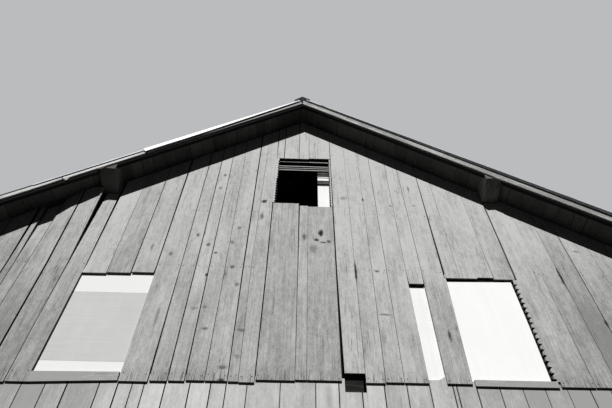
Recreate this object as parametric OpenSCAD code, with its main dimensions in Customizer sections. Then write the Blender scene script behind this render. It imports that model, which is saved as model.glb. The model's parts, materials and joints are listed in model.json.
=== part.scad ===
// Timber-framed hay barn with a gable front, seen from ground level up.
// X runs across the gable, Y along the ridge with the front gable at -Y, Z up.
// The origin is on the ground, at the middle of the plan. All sizes are in millimetres.

/* [Body] */
// Width over the frame, across the gable
frame_w = 11000; // [10200:100:12200]
// Length over the frame, along the ridge
frame_l = 14000; // [9000:500:20000]
// Number of bays between the cross frames
bays = 4; // [3:1:6]
// Height of the foot of the upper boards, where the two storeys of boards lap
lap_z = 4700; // [4600:10:5000]
// Height of the top of the wall plates over the foot of the upper boards
wall_over_lap = 1720; // [1500:10:2300]
// Rise of the roof for one unit of run
rise = 0.75; // [0.70:0.01:0.80]

/* [Boards] */
// Thickness of the wall boards
board_t = 28; // [20:1:40]
// Height of the foot of the lower boards over the ground
board_foot = 40; // [10:5:150]
// Length by which the lower boards run up behind the upper ones
lap_h = 100; // [60:5:110]
// Gap between loose boards beside the hay opening
loose_gap = 10; // [4:1:20]

/* [Frame timbers] */
// Side of the square sills and wall posts
post = 200; // [160:10:240]
// Height of the wall plates
plate_h = 180; // [140:10:220]
// Width of the rafter seat on the wall plate
plate_seat = 100; // [70:5:130]
// Side of the square posts under the purlins
purlin_post = 180; // [140:10:200]
// Depth of the tie beams' top below the foot of the upper boards
tie_drop = 80; // [60:5:200]
// Height of a tie beam
tie_h = 240; // [180:10:300]
// Depth of the collar beams' top below the underside of the purlins
collar_drop = 250; // [150:10:650]
// Height of a collar beam
collar_h = 180; // [120:10:220]

/* [Loft floor] */
// Thickness of the floor boards
floor_t = 40; // [25:1:50]
// Width of a floor joist
joist_w = 80; // [60:5:120]
// Height of a floor joist
joist_h = 180; // [140:10:220]
// Number of joists across one bay
joists = 11; // [7:1:15]

/* [Purlins and rafters] */
// Distance from the middle of the barn to a purlin's inner face
purlin_in = 2965; // [2860:5:3060]
// Width of a hewn purlin
purlin_w = 245; // [200:5:280]
// Width of the waney edge along a purlin's lower corners
wane = 34; // [15:1:45]
// Depth of a rafter, square to the slope
rafter_d = 80; // [70:1:110]
// Width of a rafter
rafter_w = 60; // [45:1:80]
// Widest distance between rafters, centre to centre
rafter_step = 640; // [500:10:900]

/* [Roof] */
// Overhang of the roof over the gable boards
gable_over = 450; // [350:10:600]
// Overhang of the eaves over the side boards
eave_over = 420; // [300:10:600]
// Thickness of the roof boards
deck_t = 25; // [20:1:35]
// Thickness of the old shingles that the left sheets lie on
shingle_left = 20; // [12:1:30]
// Thickness of the shingles, laid twice, that the right sheets lie on
shingle_right = 42; // [24:1:60]
// Depth of the corrugated roof sheets
sheet_t = 20; // [16:1:30]
// Length by which the sheets run past the eaves
sheet_eave = 45; // [20:5:80]
// Length by which the left sheets run past the barge boards
sheet_past_left = 30; // [10:5:60]
// Length by which the right sheets run past the barge boards
sheet_past_right = 70; // [40:5:100]
// Length of one leg of the ridge cap
cap_leg = 190; // [120:5:260]
// Thickness of the ridge cap
cap_t = 4; // [3:1:8]

/* [Barge boards] */
// Thickness of a barge board
barge_t = 28; // [20:1:40]
// Drop of the left barge board below the roof boards
barge_drop_left = 34; // [20:1:90]
// Drop of the right barge board below the roof boards
barge_drop_right = 66; // [30:1:110]
// Distance from the middle to the left barge board's lower joint
barge_joint_low = 3550; // [3300:10:4200]
// Distance from the middle to the left barge board's upper joint
barge_joint_high = 2600; // [1800:10:2800]
// Gap at a joint of the barge boards
barge_gap = 4; // [2:1:10]

/* [Doorway] */
// Width of the wagon doorway
door_w = 3600; // [2800:50:4200]
// Height of the wagon doorway
door_h = 3600; // [2800:50:3800]
// Width of a door post
door_post = 140; // [100:10:180]
// Height of the beam over the doorway
lintel_h = 200; // [150:10:260]

/* [Windows] */
// Width of the left window
left_win_w = 1000; // [800:10:1040]
// Width of the right window
right_win_w = 960; // [800:10:1010]
// Height of the left window over the top of the lower boards
left_win_h = 1500; // [1300:10:1800]
// Height of the right window over the top of the lower boards
right_win_h = 1560; // [1300:10:1800]
// Height of a window's sill board
sill_h = 110; // [95:5:120]
// Depth of a sill board's top below the top of the lower boards
sill_drop = 10; // [5:1:20]
// Gap at each end of a sill board
sill_gap = 7; // [3:1:15]
// Thickness of a flat window panel
panel_t = 4; // [3:1:10]
// Gap between a window's outer edge and the edge of its panel
panel_gap = 15; // [5:1:40]
// Pitch of the waves in the right window's panel
wave_pitch = 75; // [60:1:90]
// Depth of those waves
wave_d = 18; // [12:1:22]
// Thickness of the wavy sheet
wave_t = 3; // [2:1:4]
// Thickness of the flat sheet in front of the wavy one
flat_t = 2.5; // [1:0.5:3.5]
// Distance of the flat sheet's edge from the right window's outer edge
flat_in = 50; // [5:5:60]
// Length by which the wavy sheet runs on behind the board beside the window
wave_lap = 10; // [5:1:30]
// Gap between the panels where the slit's one meets the right window's one
panel_seam = 30; // [15:1:45]
// Distance from the middle of the barn to the slit's inner edge
slit_x = 1495; // [1380:5:1560]
// Width of the slit where one board is missing
slit_w = 195; // [120:5:230]
// Height of the slit over the top of the lower boards
slit_h = 1440; // [1200:10:1700]
// Gap between the slit's head and the top of its panel
slit_gap = 12; // [5:1:30]

/* [Hay opening] */
// Left edge of the board panel that holds the hay opening
hay_x0 = -455; // [-520:5:-430]
// Right edge of the board panel that holds the hay opening
hay_x1 = 515; // [495:5:560]
// Depth of the hay opening's head below the roof boards at the ridge
hay_drop = 1335; // [1260:5:1540]
// Height of the opening over the left loose board
hay_left_h = 1295; // [1035:5:1435]
// Height of the opening over the right loose boards
hay_right_h = 1400; // [1035:5:1445]
// Width of the left loose board
loose_left_w = 429; // [300:1:520]
// Width of the strips at the sides of the opening
strip_w = 45; // [30:1:60]
// Height of a slat inside the head of the opening
slat_h = 25; // [15:1:60]
// Distance between slats, centre to centre
slat_step = 76; // [70:1:90]
// Depth of the foot of the lowest slat below the opening's head
slat_drop = 345; // [310:5:380]
// Width of the white boards that shows beside the right strip
white_w = 180; // [120:5:260]
// Depth of the top of the lower white board below the opening's head
white_low_drop = 613; // [535:1:835]
// Depth of the foot of the upper white board below the opening's head
white_high_drop = 407; // [375:1:495]
// Height of the upper white board
white_high_h = 87; // [52:1:200]
// Thickness of the white boards behind the opening
inner_t = 25; // [15:1:40]
// Depth of the top of the post behind the white boards below the opening's head
back_drop = 190; // [150:5:300]

/* [Broken corner] */
// Left edge of the hole in the boards at the lap
hole_x = 548; // [545:1:600]
// Width of the hole
hole_w = 240; // [150:5:300]
// Depth of the hole, in the lower boards, below the foot of the upper ones
hole_below = 75; // [60:5:120]
// Height of the short board's broken end over the foot of the other upper boards
hole_above = 150; // [120:5:250]

/* [Studs and girts] */
// Width of a gable stud
stud_w = 90; // [70:5:120]
// Depth of a gable stud
stud_d = 100; // [80:5:150]
// Distance from a side of the frame to the outermost stud
stud_in = 1200; // [900:50:1400]
// Distance from the middle of the back gable to its two middle studs
back_stud = 600; // [500:10:800]
// Length of stud covered by the edge of a window's panel
panel_lap = 45; // [30:1:60]
// Width of a stud beside the hay opening
jamb_w = 70; // [50:5:90]
// Depth at which those studs stand back from the strips' edges
reveal = 5; // [0:1:15]
// Height of a nailing board across a gable
nailer_h = 150; // [100:10:200]
// Gap between the highest window head and the nailing board over it
nailer_over = 40; // [20:5:80]
// Gap between the loose boards' top and the nailing board behind them
nailer_under = 85; // [60:5:120]
// Height of the nailing board over the hay opening
head_nailer_h = 120; // [80:10:150]
// Gap between the hay opening's head and that nailing board
head_nailer_gap = 65; // [50:5:90]
// Height of the girts of the lower walls over the ground
girt_z = 2240; // [1800:20:2800]
// Height of a girt
girt_h = 120; // [80:10:160]
// Depth of a girt
girt_d = 100; // [60:10:150]
// Height of the rails behind the window panels
rail_h = 60; // [40:5:90]
// Depth of those rails
rail_d = 50; // [30:5:80]
// Gap between the top of the lower boards and a window's lower rail
rail_foot = 60; // [30:5:120]
// Gap between a window's upper rail and the window's head
rail_head = 100; // [60:5:160]
// Height of the furring board behind the head of the side boards
furring_h = 140; // [100:10:180]
// Gap between the furring board and the underside of the rafters
furring_gap = 20; // [10:5:40]

/* [Hidden] */

old_timber = [0.42, 0.41, 0.39];
siding = [0.66, 0.66, 0.65];
deck_wood = [0.36, 0.35, 0.34];
galvanised = [0.74, 0.75, 0.76];
white_sheet = [0.93, 0.93, 0.92];
barge_paint = [0.72, 0.72, 0.71];

// Planes across the barn and along it
half_w = frame_w / 2;
half_l = frame_l / 2;
side_mid = half_w + board_t;
side_out = half_w + 2 * board_t;
gable_mid = half_l + board_t;
gable_out = half_l + 2 * board_t;
barge_in = gable_out + gable_over - barge_t;
barge_out = gable_out + gable_over;
eave_x = side_out + eave_over;

// Plumb depths of what lies square to the slope
slope = sqrt(1 + rise * rise);
rafter_v = rafter_d * slope;
deck_v = deck_t * slope;
left_layer_v = deck_v + shingle_left * slope;
right_layer_v = deck_v + shingle_right * slope;
sheet_v = sheet_t * slope;
cap_v = cap_t * slope;

// Heights from the lap up to the ridge: the rafters rest on the wall plates, and
// ridge_z is the underside of the roof boards at the ridge
lower_top = lap_z + lap_h;
plate_top = lap_z + wall_over_lap;
plate_bot = plate_top - plate_h;
under_z = plate_top + rise * (half_w - plate_seat);
ridge_z = under_z + rafter_v;
tie_top = lap_z - tie_drop;
tie_bot = tie_top - tie_h;
floor_top = tie_top + floor_t;
purlin_out = purlin_in + purlin_w;
purlin_bot = under_z - rise * purlin_out;
purlin_mid = purlin_in + purlin_w / 2;
collar_z = purlin_bot - collar_drop - collar_h;

// Cross frames: the end ones stand inside the gable boards
bent_step = (frame_l - post) / bays;
bent_y = [for (i = [0 : bays]) -half_l + post / 2 + i * bent_step];

// Heads of the openings in the gable, and the tops of the loose boards
left_head = lower_top + left_win_h;
right_head = lower_top + right_win_h;
slit_head = lower_top + slit_h;
hole_foot = lap_z - hole_below;
hole_head = lap_z + hole_above;
hay_head = ridge_z - hay_drop;
loose_left_z = hay_head - hay_left_h;
loose_right_z = hay_head - hay_right_h;

// Window edges: each outer edge lines up with the inner face of its purlin
left_win = [-purlin_in, left_win_w - purlin_in];
right_win = [purlin_in - right_win_w, purlin_in];
slit = [slit_x, slit_x + slit_w];
hole = [hole_x, hole_x + hole_w];

// Studs of the gable walls, which stand on the end tie beams: beside each window,
// slit and opening, so that the panels' edges have a stud behind them
stud_y = half_l - stud_d;
stud_far = half_w - stud_in;
stud_out = purlin_in + stud_w;
left_stud = left_win[1] + panel_lap;
slit_stud = slit_x - panel_lap;
right_stud = (slit[1] + right_win[0]) / 2;
stud_x = [-stud_far, -stud_out, left_stud, slit_stud, right_stud, stud_out, stud_far];
jamb_x = [hay_x0 + strip_w + reveal - jamb_w / 2, hay_x1 - strip_w - reveal + jamb_w / 2];
back_stud_x = [-stud_far, -stud_out, left_stud, -back_stud,
               back_stud, -left_stud, stud_out, stud_far];

// Feet of the nailing boards behind the gable's boards
nailer_z = [
    max(left_head, right_head, slit_head) + nailer_over,
    min(loose_left_z, loose_right_z) - nailer_under - nailer_h
];

// Rafters, one pair flush with each gable's boards and equal steps between
rafter_count = ceil((2 * gable_mid - rafter_w) / rafter_step) + 1;
rafter_gap = (2 * gable_mid - rafter_w) / (rafter_count - 1);
rafter_y = concat(
    [-barge_in],
    [for (i = [0 : rafter_count - 1]) -gable_mid + i * rafter_gap],
    [barge_in - rafter_w]
);

function roof_z(x, top) = top - rise * abs(x);

// A square-edged timber between two corners
module timber(low, high) {
    translate(low) cube(high - low);
}

// Its children, drawn across the gable in X and Z, made solid from y0 to y1
module across(y0, y1) {
    translate([0, y1, 0]) rotate([90, 0, 0]) linear_extrude(y1 - y0) children();
}

// A board outline between x0 and x1, from z0 up to a slope whose ridge is at top
module up_to_slope(x0, x1, z0, top) {
    peak = x0 < 0 && x1 > 0 ? [[0, top]] : [];
    polygon(concat(
        [[x1, z0], [x1, roof_z(x1, top)]],
        peak,
        [[x0, roof_z(x0, top)], [x0, z0]]
    ));
}

// A band on one slope: side is -1 or 1, from x0 out to x1, between two plumb offsets
module slope_band(side, x0, x1, low, high) {
    polygon([
        [side * x0, roof_z(x0, ridge_z) + low], [side * x1, roof_z(x1, ridge_z) + low],
        [side * x1, roof_z(x1, ridge_z) + high], [side * x0, roof_z(x0, ridge_z) + high]
    ]);
}

// Where a purlin passes through the gable boards
module purlin_pass() {
    for (side = [-1, 1])
        translate([side * purlin_mid - purlin_w / 2, purlin_bot]) square([purlin_w, ridge_z]);
}

// Sills on the ground
module side_sills() {
    color(old_timber)
        for (side = [-1, 1])
            timber([side * (half_w - post / 2) - post / 2, -half_l, 0],
                   [side * (half_w - post / 2) + post / 2, half_l, post]);
}

module end_sills() {
    inner = half_w - post;
    jamb = door_w / 2 + door_post;
    color(old_timber) {
        timber([-inner, -half_l, 0], [-jamb, post - half_l, post]);
        timber([jamb, -half_l, 0], [inner, post - half_l, post]);
        timber([-inner, half_l - post, 0], [inner, half_l, post]);
    }
}

// Posts of the side walls, from the sills up to the plates
module wall_posts() {
    color(old_timber)
        for (side = [-1, 1], y = bent_y)
            timber([side * (half_w - post / 2) - post / 2, y - post / 2, post],
                   [side * (half_w - post / 2) + post / 2, y + post / 2, plate_bot]);
}

module wall_plates() {
    color(old_timber)
        for (side = [-1, 1])
            timber([side * (half_w - post / 2) - post / 2, -gable_mid, plate_bot],
                   [side * (half_w - post / 2) + post / 2, gable_mid, plate_top]);
}

// Posts under the tie beams; those of the end frames stand on the end sills
module aisle_posts() {
    color(old_timber)
        for (side = [-1, 1], i = [0 : bays]) {
            foot = i == 0 || i == bays ? post : 0;
            timber([side * purlin_mid - post / 2, bent_y[i] - post / 2, foot],
                   [side * purlin_mid + post / 2, bent_y[i] + post / 2, tie_bot]);
        }
}

module tie_beams() {
    color(old_timber)
        for (y = bent_y)
            timber([post - half_w, y - post / 2, tie_bot], [half_w - post, y + post / 2, tie_top]);
}

// Joists between the tie beams
module loft_joists() {
    first = post + joist_w / 2 - half_w;
    step = -2 * first / (joists - 1);
    color(old_timber)
        for (i = [0 : bays - 1], j = [0 : joists - 1])
            timber([first + j * step - joist_w / 2, bent_y[i] + post / 2, tie_top - joist_h],
                   [first + j * step + joist_w / 2, bent_y[i + 1] - post / 2, tie_top]);
}

module loft_floor() {
    color(deck_wood)
        timber([post - half_w, -stud_y, tie_top], [half_w - post, stud_y, floor_top]);
}

// Posts from the loft floor up to the purlins
module purlin_posts() {
    reach = stud_y - purlin_post / 2;
    color(old_timber)
        for (side = [-1, 1], y = bent_y) {
            py = max(-reach, min(reach, y));
            timber([side * purlin_mid - purlin_post / 2, py - purlin_post / 2, floor_top],
                   [side * purlin_mid + purlin_post / 2, py + purlin_post / 2, purlin_bot]);
        }
}

module collar_beams() {
    reach = stud_y - purlin_post / 2;
    inner = purlin_mid - purlin_post / 2;
    color(old_timber)
        for (y = bent_y) {
            py = max(-reach, min(reach, y));
            timber([-inner, py - purlin_post / 2, collar_z],
                   [inner, py + purlin_post / 2, collar_z + collar_h]);
        }
}

// A hewn purlin with its top cut to the slope and waney lower corners
module purlin(side) {
    color(old_timber)
        across(-barge_in, barge_in)
            polygon([
                [side * (purlin_in + wane), purlin_bot],
                [side * (purlin_out - wane), purlin_bot],
                [side * purlin_out, purlin_bot + wane],
                [side * purlin_out, roof_z(purlin_out, ridge_z)],
                [side * purlin_in, roof_z(purlin_in, ridge_z)],
                [side * purlin_in, purlin_bot + wane]
            ]);
}

module left_purlin() {
    purlin(-1);
}

module right_purlin() {
    purlin(1);
}

// Rafters from the ridge to the purlin and from the purlin to the eaves,
// the lower ones notched over the wall plate
module rafters(side) {
    color(old_timber)
        for (y = rafter_y) {
            across(y, y + rafter_w) slope_band(side, 0, purlin_in, -rafter_v, 0);
            across(y, y + rafter_w)
                difference() {
                    slope_band(side, purlin_out, eave_x, -rafter_v, 0);
                    translate([side * (half_w - post / 2) - post / 2, plate_bot])
                        square([post, plate_h]);
                }
        }
}

module left_rafters() {
    rafters(-1);
}

module right_rafters() {
    rafters(1);
}

// Roof boards run along the ridge over the rafters
module roof_boards(side) {
    color(deck_wood) across(-barge_in, barge_in) slope_band(side, 0, eave_x, 0, deck_v);
}

module left_roof_boards() {
    roof_boards(-1);
}

module right_roof_boards() {
    roof_boards(1);
}

// Corrugated sheets over the old shingles, run past the barge boards
module roof_sheets(side, past, foot) {
    color(galvanised) {
        across(-barge_in, barge_in) slope_band(side, 0, eave_x, deck_v, foot);
        across(-barge_out - past, barge_out + past)
            slope_band(side, 0, eave_x + sheet_eave, foot, foot + sheet_v);
    }
}

module left_roof_sheets() {
    roof_sheets(-1, sheet_past_left, left_layer_v);
}

module right_roof_sheets() {
    roof_sheets(1, sheet_past_right, right_layer_v);
}

// Folded ridge cap, whose legs lie on the sheets of both slopes
module ridge_cap() {
    run = cap_leg / slope;
    low = ridge_z + max(left_layer_v, right_layer_v) + sheet_v;
    left = roof_z(run, ridge_z) + left_layer_v + sheet_v;
    right = roof_z(run, ridge_z) + right_layer_v + sheet_v;
    color(galvanised)
        across(-barge_out - sheet_past_left, barge_out + sheet_past_left)
            polygon([
                [-run, left], [0, low], [run, right],
                [run, right + cap_v], [0, low + cap_v], [-run, left + cap_v]
            ]);
}

// Barge boards against the ends of the roof boards, up to the sheets
module barge(side, x0, x1, drop, front) {
    y0 = front ? -barge_out : barge_in;
    color(barge_paint)
        across(y0, y0 + barge_t)
            slope_band(side, x0, x1, -drop, side < 0 ? left_layer_v : right_layer_v);
}

// The left front barge board is in three lengths
module front_left_barge() {
    half_gap = barge_gap / 2;
    barge(-1, 0, barge_joint_high - half_gap, barge_drop_left, true);
    barge(-1, barge_joint_high + half_gap, barge_joint_low - half_gap, barge_drop_left, true);
    barge(-1, barge_joint_low + half_gap, eave_x, barge_drop_left, true);
}

module front_right_barge() {
    barge(1, 0, eave_x, barge_drop_right, true);
}

module back_barges() {
    for (side = [-1, 1]) barge(side, barge_gap / 2, eave_x, barge_drop_right, false);
}

// Gable studs stand on the end tie beams and reach up to the rafters or the purlins
module stud(x, w, y0, y1) {
    under_purlin = abs(x) + w / 2 > purlin_in && abs(x) - w / 2 < purlin_out;
    color(old_timber)
        across(y0, y1)
            intersection() {
                up_to_slope(x - w / 2, x + w / 2, tie_top, under_z);
                translate([x - w, tie_top])
                    square([2 * w, under_purlin ? purlin_bot - tie_top : ridge_z]);
            }
}

module gable_studs() {
    for (x = stud_x) stud(x, stud_w, -half_l, -stud_y);
    for (x = jamb_x) stud(x, jamb_w, -half_l, -stud_y);
    for (x = back_stud_x) stud(x, stud_w, stud_y, half_l);
}

// A horizontal nailing board between the end rafters, its ends cut to their slope
module nailer(z, h) {
    function reach(level) = min(half_w, (under_z - level) / rise);
    for (y = [-gable_mid, half_l])
        across(y, y + board_t)
            polygon([
                [-reach(z), z], [reach(z), z],
                [reach(z + h), z + h], [-reach(z + h), z + h]
            ]);
}

// Girts of the lower end walls, between the posts, and the door posts in front
module end_girt(x0, x1, y0) {
    timber([x0, y0, girt_z], [x1, y0 + girt_d, girt_z + girt_h]);
}

module end_girts() {
    inner = half_w - post;
    aisle = [purlin_mid - post / 2, purlin_mid + post / 2];
    jamb = door_w / 2 + door_post;
    for (y = [-half_l, half_l - girt_d]) {
        end_girt(-inner, -aisle[1], y);
        end_girt(aisle[1], inner, y);
    }
    end_girt(-aisle[0], -jamb, -half_l);
    end_girt(jamb, aisle[0], -half_l);
    end_girt(-aisle[0], aisle[0], half_l - girt_d);
}

// Rails behind the window panels, between the studs beside each window
module panel_rails(x0, x1, head, y0) {
    for (z = [lower_top + rail_foot, head - rail_head - rail_h])
        timber([x0 + stud_w / 2, y0, z], [x1 - stud_w / 2, y0 + rail_d, z + rail_h]);
}

module wall_girts() {
    side_z = roof_z(side_mid, under_z) - furring_gap;
    color(old_timber) {
        for (z = nailer_z) nailer(z, nailer_h);
        nailer(hay_head + head_nailer_gap, head_nailer_h);
        end_girts();
        for (side = [-1, 1], i = [0 : bays - 1])
            timber([side * (half_w - girt_d / 2) - girt_d / 2, bent_y[i] + post / 2, girt_z],
                   [side * (half_w - girt_d / 2) + girt_d / 2, bent_y[i + 1] - post / 2,
                    girt_z + girt_h]);
        for (side = [-1, 1])
            timber([side * (half_w + board_t / 2) - board_t / 2, -half_l, side_z - furring_h],
                   [side * (half_w + board_t / 2) + board_t / 2, half_l, side_z]);
        panel_rails(-stud_out, left_stud, left_head, -half_l);
        panel_rails(right_stud, stud_out, right_head, -half_l);
        panel_rails(-stud_out, left_stud, left_head, half_l - rail_d);
        panel_rails(-left_stud, stud_out, left_head, half_l - rail_d);
    }
}

// Lower boards of the front, beside the doorway
module front_wall_boards() {
    color(siding)
        for (side = [-1, 1])
            translate([side * (side_mid + door_w / 2) / 2 - (side_mid - door_w / 2) / 2,
                       -gable_mid, board_foot])
                cube([side_mid - door_w / 2, board_t, lower_top - board_foot]);
}

// Lower boards over the doorway, broken away at the hole
module front_wall_over_door() {
    color(siding)
        across(-gable_mid, -half_l)
            difference() {
                translate([-door_w / 2, door_h]) square([door_w, lower_top - door_h]);
                translate([hole[0], hole_foot]) square([hole_w, lower_top]);
            }
}

module door_posts() {
    color(old_timber)
        for (side = [-1, 1])
            timber([side * (door_w + door_post) / 2 - door_post / 2, -half_l, 0],
                   [side * (door_w + door_post) / 2 + door_post / 2, post - half_l, door_h]);
}

module door_lintel() {
    reach = door_w / 2 + door_post;
    color(old_timber)
        timber([-reach, -half_l, door_h], [reach, post - half_l, door_h + lintel_h]);
}

// Upper boards of a gable from the lap or a window's head up to the roof
module gable_piece(x0, x1, z0, y0) {
    color(siding)
        across(y0, y0 + board_t)
            difference() {
                up_to_slope(x0, x1, z0, ridge_z);
                purlin_pass();
            }
}

// The full-length upper boards of the front, beside and between the openings
module front_gable_boards() {
    gable_piece(-side_out, left_win[0], lap_z, -gable_out);
    gable_piece(left_win[1], hay_x0, lap_z, -gable_out);
    gable_piece(hole[1], slit[0], lap_z, -gable_out);
    gable_piece(slit[1], right_win[0], lap_z, -gable_out);
    gable_piece(right_win[1], side_out, lap_z, -gable_out);
}

// The short boards over the windows, the hay opening, the hole and the slit
module front_gable_short_boards() {
    gable_piece(left_win[0], left_win[1], left_head, -gable_out);
    gable_piece(hay_x0, hay_x1, hay_head, -gable_out);
    gable_piece(hay_x1 + loose_gap, hole[1], hole_head, -gable_out);
    gable_piece(slit[0], slit[1], slit_head, -gable_out);
    gable_piece(right_win[0], right_win[1], right_head, -gable_out);
}

// Loose boards that close the lower part of the hay opening, and its side strips
module hay_door_boards() {
    seam = hay_x0 + loose_left_w;
    color(siding) {
        timber([hay_x0, -gable_out, lap_z], [seam, -gable_mid, loose_left_z]);
        timber([seam + loose_gap, -gable_out, lap_z], [hay_x1, -gable_mid, loose_right_z]);
        timber([hay_x0, -gable_out, loose_left_z + loose_gap],
               [hay_x0 + strip_w, -gable_mid, hay_head]);
        timber([hay_x1 - strip_w, -gable_out, loose_right_z + loose_gap],
               [hay_x1, -gable_mid, hay_head]);
    }
}

// Slats across the opening's head, behind the boards and nailed to the studs beside
// it; one is missing below the top one
module hay_opening_slats() {
    color(siding)
        for (i = [0, 1, 2, 4]) {
            foot = hay_head - slat_drop + i * slat_step;
            timber([jamb_x[0] - jamb_w / 2, -gable_mid, foot],
                   [jamb_x[1] + jamb_w / 2, -half_l, foot + slat_h]);
        }
}

// White boards nailed to the right stud, behind the opening; the lower one stands
// on the end collar beam. A short post behind them holds their inner ends
module hay_white_boards() {
    x0 = hay_x1 - strip_w - white_w;
    x1 = jamb_x[1] + jamb_w / 2;
    high_foot = hay_head - white_high_drop;
    low = [collar_z + collar_h, hay_head - white_low_drop];
    high = [high_foot, high_foot + white_high_h];
    color(white_sheet)
        for (z = [low, high]) timber([x0, -stud_y, z[0]], [x1, inner_t - stud_y, z[1]]);
    color(old_timber)
        timber([x0, inner_t - stud_y, collar_z + collar_h],
               [x1, 2 * inner_t - stud_y, hay_head - back_drop]);
}

// Sill boards under the windows, over the foot of the lap
module window_sill(x0, x1, y0) {
    top = lower_top - sill_drop;
    timber([x0 + sill_gap, y0, top - sill_h], [x1 - sill_gap, y0 + board_t, top]);
}

module window_sills() {
    color(siding) {
        window_sill(left_win[0], left_win[1], -gable_out);
        window_sill(right_win[0], right_win[1], -gable_out);
        window_sill(left_win[0], left_win[1], gable_mid);
        window_sill(-left_win[1], -left_win[0], gable_mid);
    }
}

// Flat panels stand on the lower boards, against the front of the studs
module flat_panel(x0, x1, head, y0) {
    color(white_sheet) timber([x0, y0, lower_top], [x1, y0 + panel_t, head]);
}

module left_window_panel() {
    flat_panel(left_win[0] + panel_gap, left_stud, left_head, -half_l - panel_t);
}

module slit_panel() {
    flat_panel(slit_stud, right_stud - panel_seam / 2, slit_head - slit_gap, -half_l - panel_t);
}

module back_window_panels() {
    flat_panel(left_win[0] + panel_gap, left_stud, left_head, half_l);
    flat_panel(-left_stud, -left_win[0] - panel_gap, left_head, half_l);
}

// The right window's panel is a sheet with its waves lying level, and a flat sheet
// nailed to the front of the waves
module right_window_panel() {
    steps = 8;
    x0 = right_stud + panel_seam / 2;
    deep = half_l + wave_t + wave_d / 2;
    count = ceil((right_head - lower_top) * steps / wave_pitch);
    function wave(i) = wave_d / 2 * cos(360 * i / steps);
    function wave_z(i) = min(lower_top + i * wave_pitch / steps, right_head);
    color(white_sheet)
        translate([x0, 0, 0]) rotate([90, 0, 90])
            linear_extrude(right_win[1] + wave_lap - x0)
                polygon(concat(
                    [for (i = [0 : count]) [wave(i) - deep, wave_z(i)]],
                    [for (i = [count : -1 : 0]) [wave(i) - deep + wave_t, wave_z(i)]]
                ));
    front = -half_l - wave_t - wave_d;
    color(white_sheet)
        timber([x0, front - flat_t, lower_top], [right_win[1] - flat_in, front, right_head]);
}

// Boards of the back, which repeats the storeys of the front without its doorway
module back_wall_boards() {
    color(siding)
        timber([-side_mid, half_l, board_foot], [side_mid, gable_mid, lower_top]);
}

module back_gable_boards() {
    gable_piece(-side_out, left_win[0], lap_z, gable_mid);
    gable_piece(left_win[1], -left_win[1], lap_z, gable_mid);
    gable_piece(-left_win[0], side_out, lap_z, gable_mid);
}

module back_gable_short_boards() {
    gable_piece(left_win[0], left_win[1], left_head, gable_mid);
    gable_piece(-left_win[1], -left_win[0], left_head, gable_mid);
}

// Boards of the side walls; the upper ones end under the rafters
module side_lower(side) {
    color(siding)
        timber([side * (half_w + board_t / 2) - board_t / 2, -half_l, board_foot],
               [side * (half_w + board_t / 2) + board_t / 2, half_l, lower_top]);
}

module side_upper(side) {
    x0 = side > 0 ? side_mid : -side_out;
    color(siding) across(-gable_mid, gable_mid) up_to_slope(x0, x0 + board_t, lap_z, under_z);
}

module left_wall_lower() {
    side_lower(-1);
}

module left_wall_upper() {
    side_upper(-1);
}

module right_wall_lower() {
    side_lower(1);
}

module right_wall_upper() {
    side_upper(1);
}

side_sills();
end_sills();
wall_posts();
wall_plates();
aisle_posts();
tie_beams();
loft_joists();
loft_floor();
purlin_posts();
collar_beams();
left_purlin();
right_purlin();
left_rafters();
right_rafters();
left_roof_boards();
right_roof_boards();
left_roof_sheets();
right_roof_sheets();
ridge_cap();
front_left_barge();
front_right_barge();
back_barges();
gable_studs();
wall_girts();
front_wall_boards();
front_wall_over_door();
door_posts();
door_lintel();
front_gable_boards();
front_gable_short_boards();
hay_door_boards();
hay_opening_slats();
hay_white_boards();
window_sills();
left_window_panel();
right_window_panel();
slit_panel();
back_window_panels();
back_wall_boards();
back_gable_boards();
back_gable_short_boards();
left_wall_lower();
left_wall_upper();
right_wall_lower();
right_wall_upper();
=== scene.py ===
# %% [markdown]
# # A plank hay barn seen from under its gable
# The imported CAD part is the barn's frame, true to size. This file gives it its looks: it
# replaces the plain wall and roof solids by single boards and sheets, and gives each
# piece its own finish. Blender works in metres, and the frame is in metres too.

import json
import math
import random

import bmesh
import bpy
from mathutils import Euler, Matrix, Vector

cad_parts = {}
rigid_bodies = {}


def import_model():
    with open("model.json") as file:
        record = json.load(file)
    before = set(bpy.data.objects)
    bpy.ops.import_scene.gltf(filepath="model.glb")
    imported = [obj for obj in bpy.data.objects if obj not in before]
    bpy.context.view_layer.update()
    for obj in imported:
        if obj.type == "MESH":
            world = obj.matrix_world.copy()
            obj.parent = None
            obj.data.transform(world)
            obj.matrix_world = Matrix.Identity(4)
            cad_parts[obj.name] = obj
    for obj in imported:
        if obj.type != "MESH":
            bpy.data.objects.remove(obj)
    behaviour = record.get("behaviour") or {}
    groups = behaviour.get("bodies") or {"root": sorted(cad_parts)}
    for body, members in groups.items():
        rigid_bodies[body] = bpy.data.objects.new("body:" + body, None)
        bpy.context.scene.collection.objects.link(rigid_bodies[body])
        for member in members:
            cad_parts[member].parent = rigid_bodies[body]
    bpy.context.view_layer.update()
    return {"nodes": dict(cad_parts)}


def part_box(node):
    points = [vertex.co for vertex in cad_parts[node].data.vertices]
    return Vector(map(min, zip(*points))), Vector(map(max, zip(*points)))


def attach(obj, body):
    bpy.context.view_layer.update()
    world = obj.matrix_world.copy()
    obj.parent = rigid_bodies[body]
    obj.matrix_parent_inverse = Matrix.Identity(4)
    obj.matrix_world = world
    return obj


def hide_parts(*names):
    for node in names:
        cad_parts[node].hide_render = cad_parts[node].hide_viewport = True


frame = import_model()
mm = 0.001
chance = random.Random(11)
sides = (("left", -1), ("right", 1))
print("CAD nodes:", len(frame["nodes"]))

# %% [markdown]
# ## Sizes that the frame gives
# Every piece is placed from the frame's own boxes, so that nothing has to be fitted by
# hand. Only what a box doesn't tell is written down again: how thick the boards are, and
# the roof's slope, which rises 3 in 4.

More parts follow.
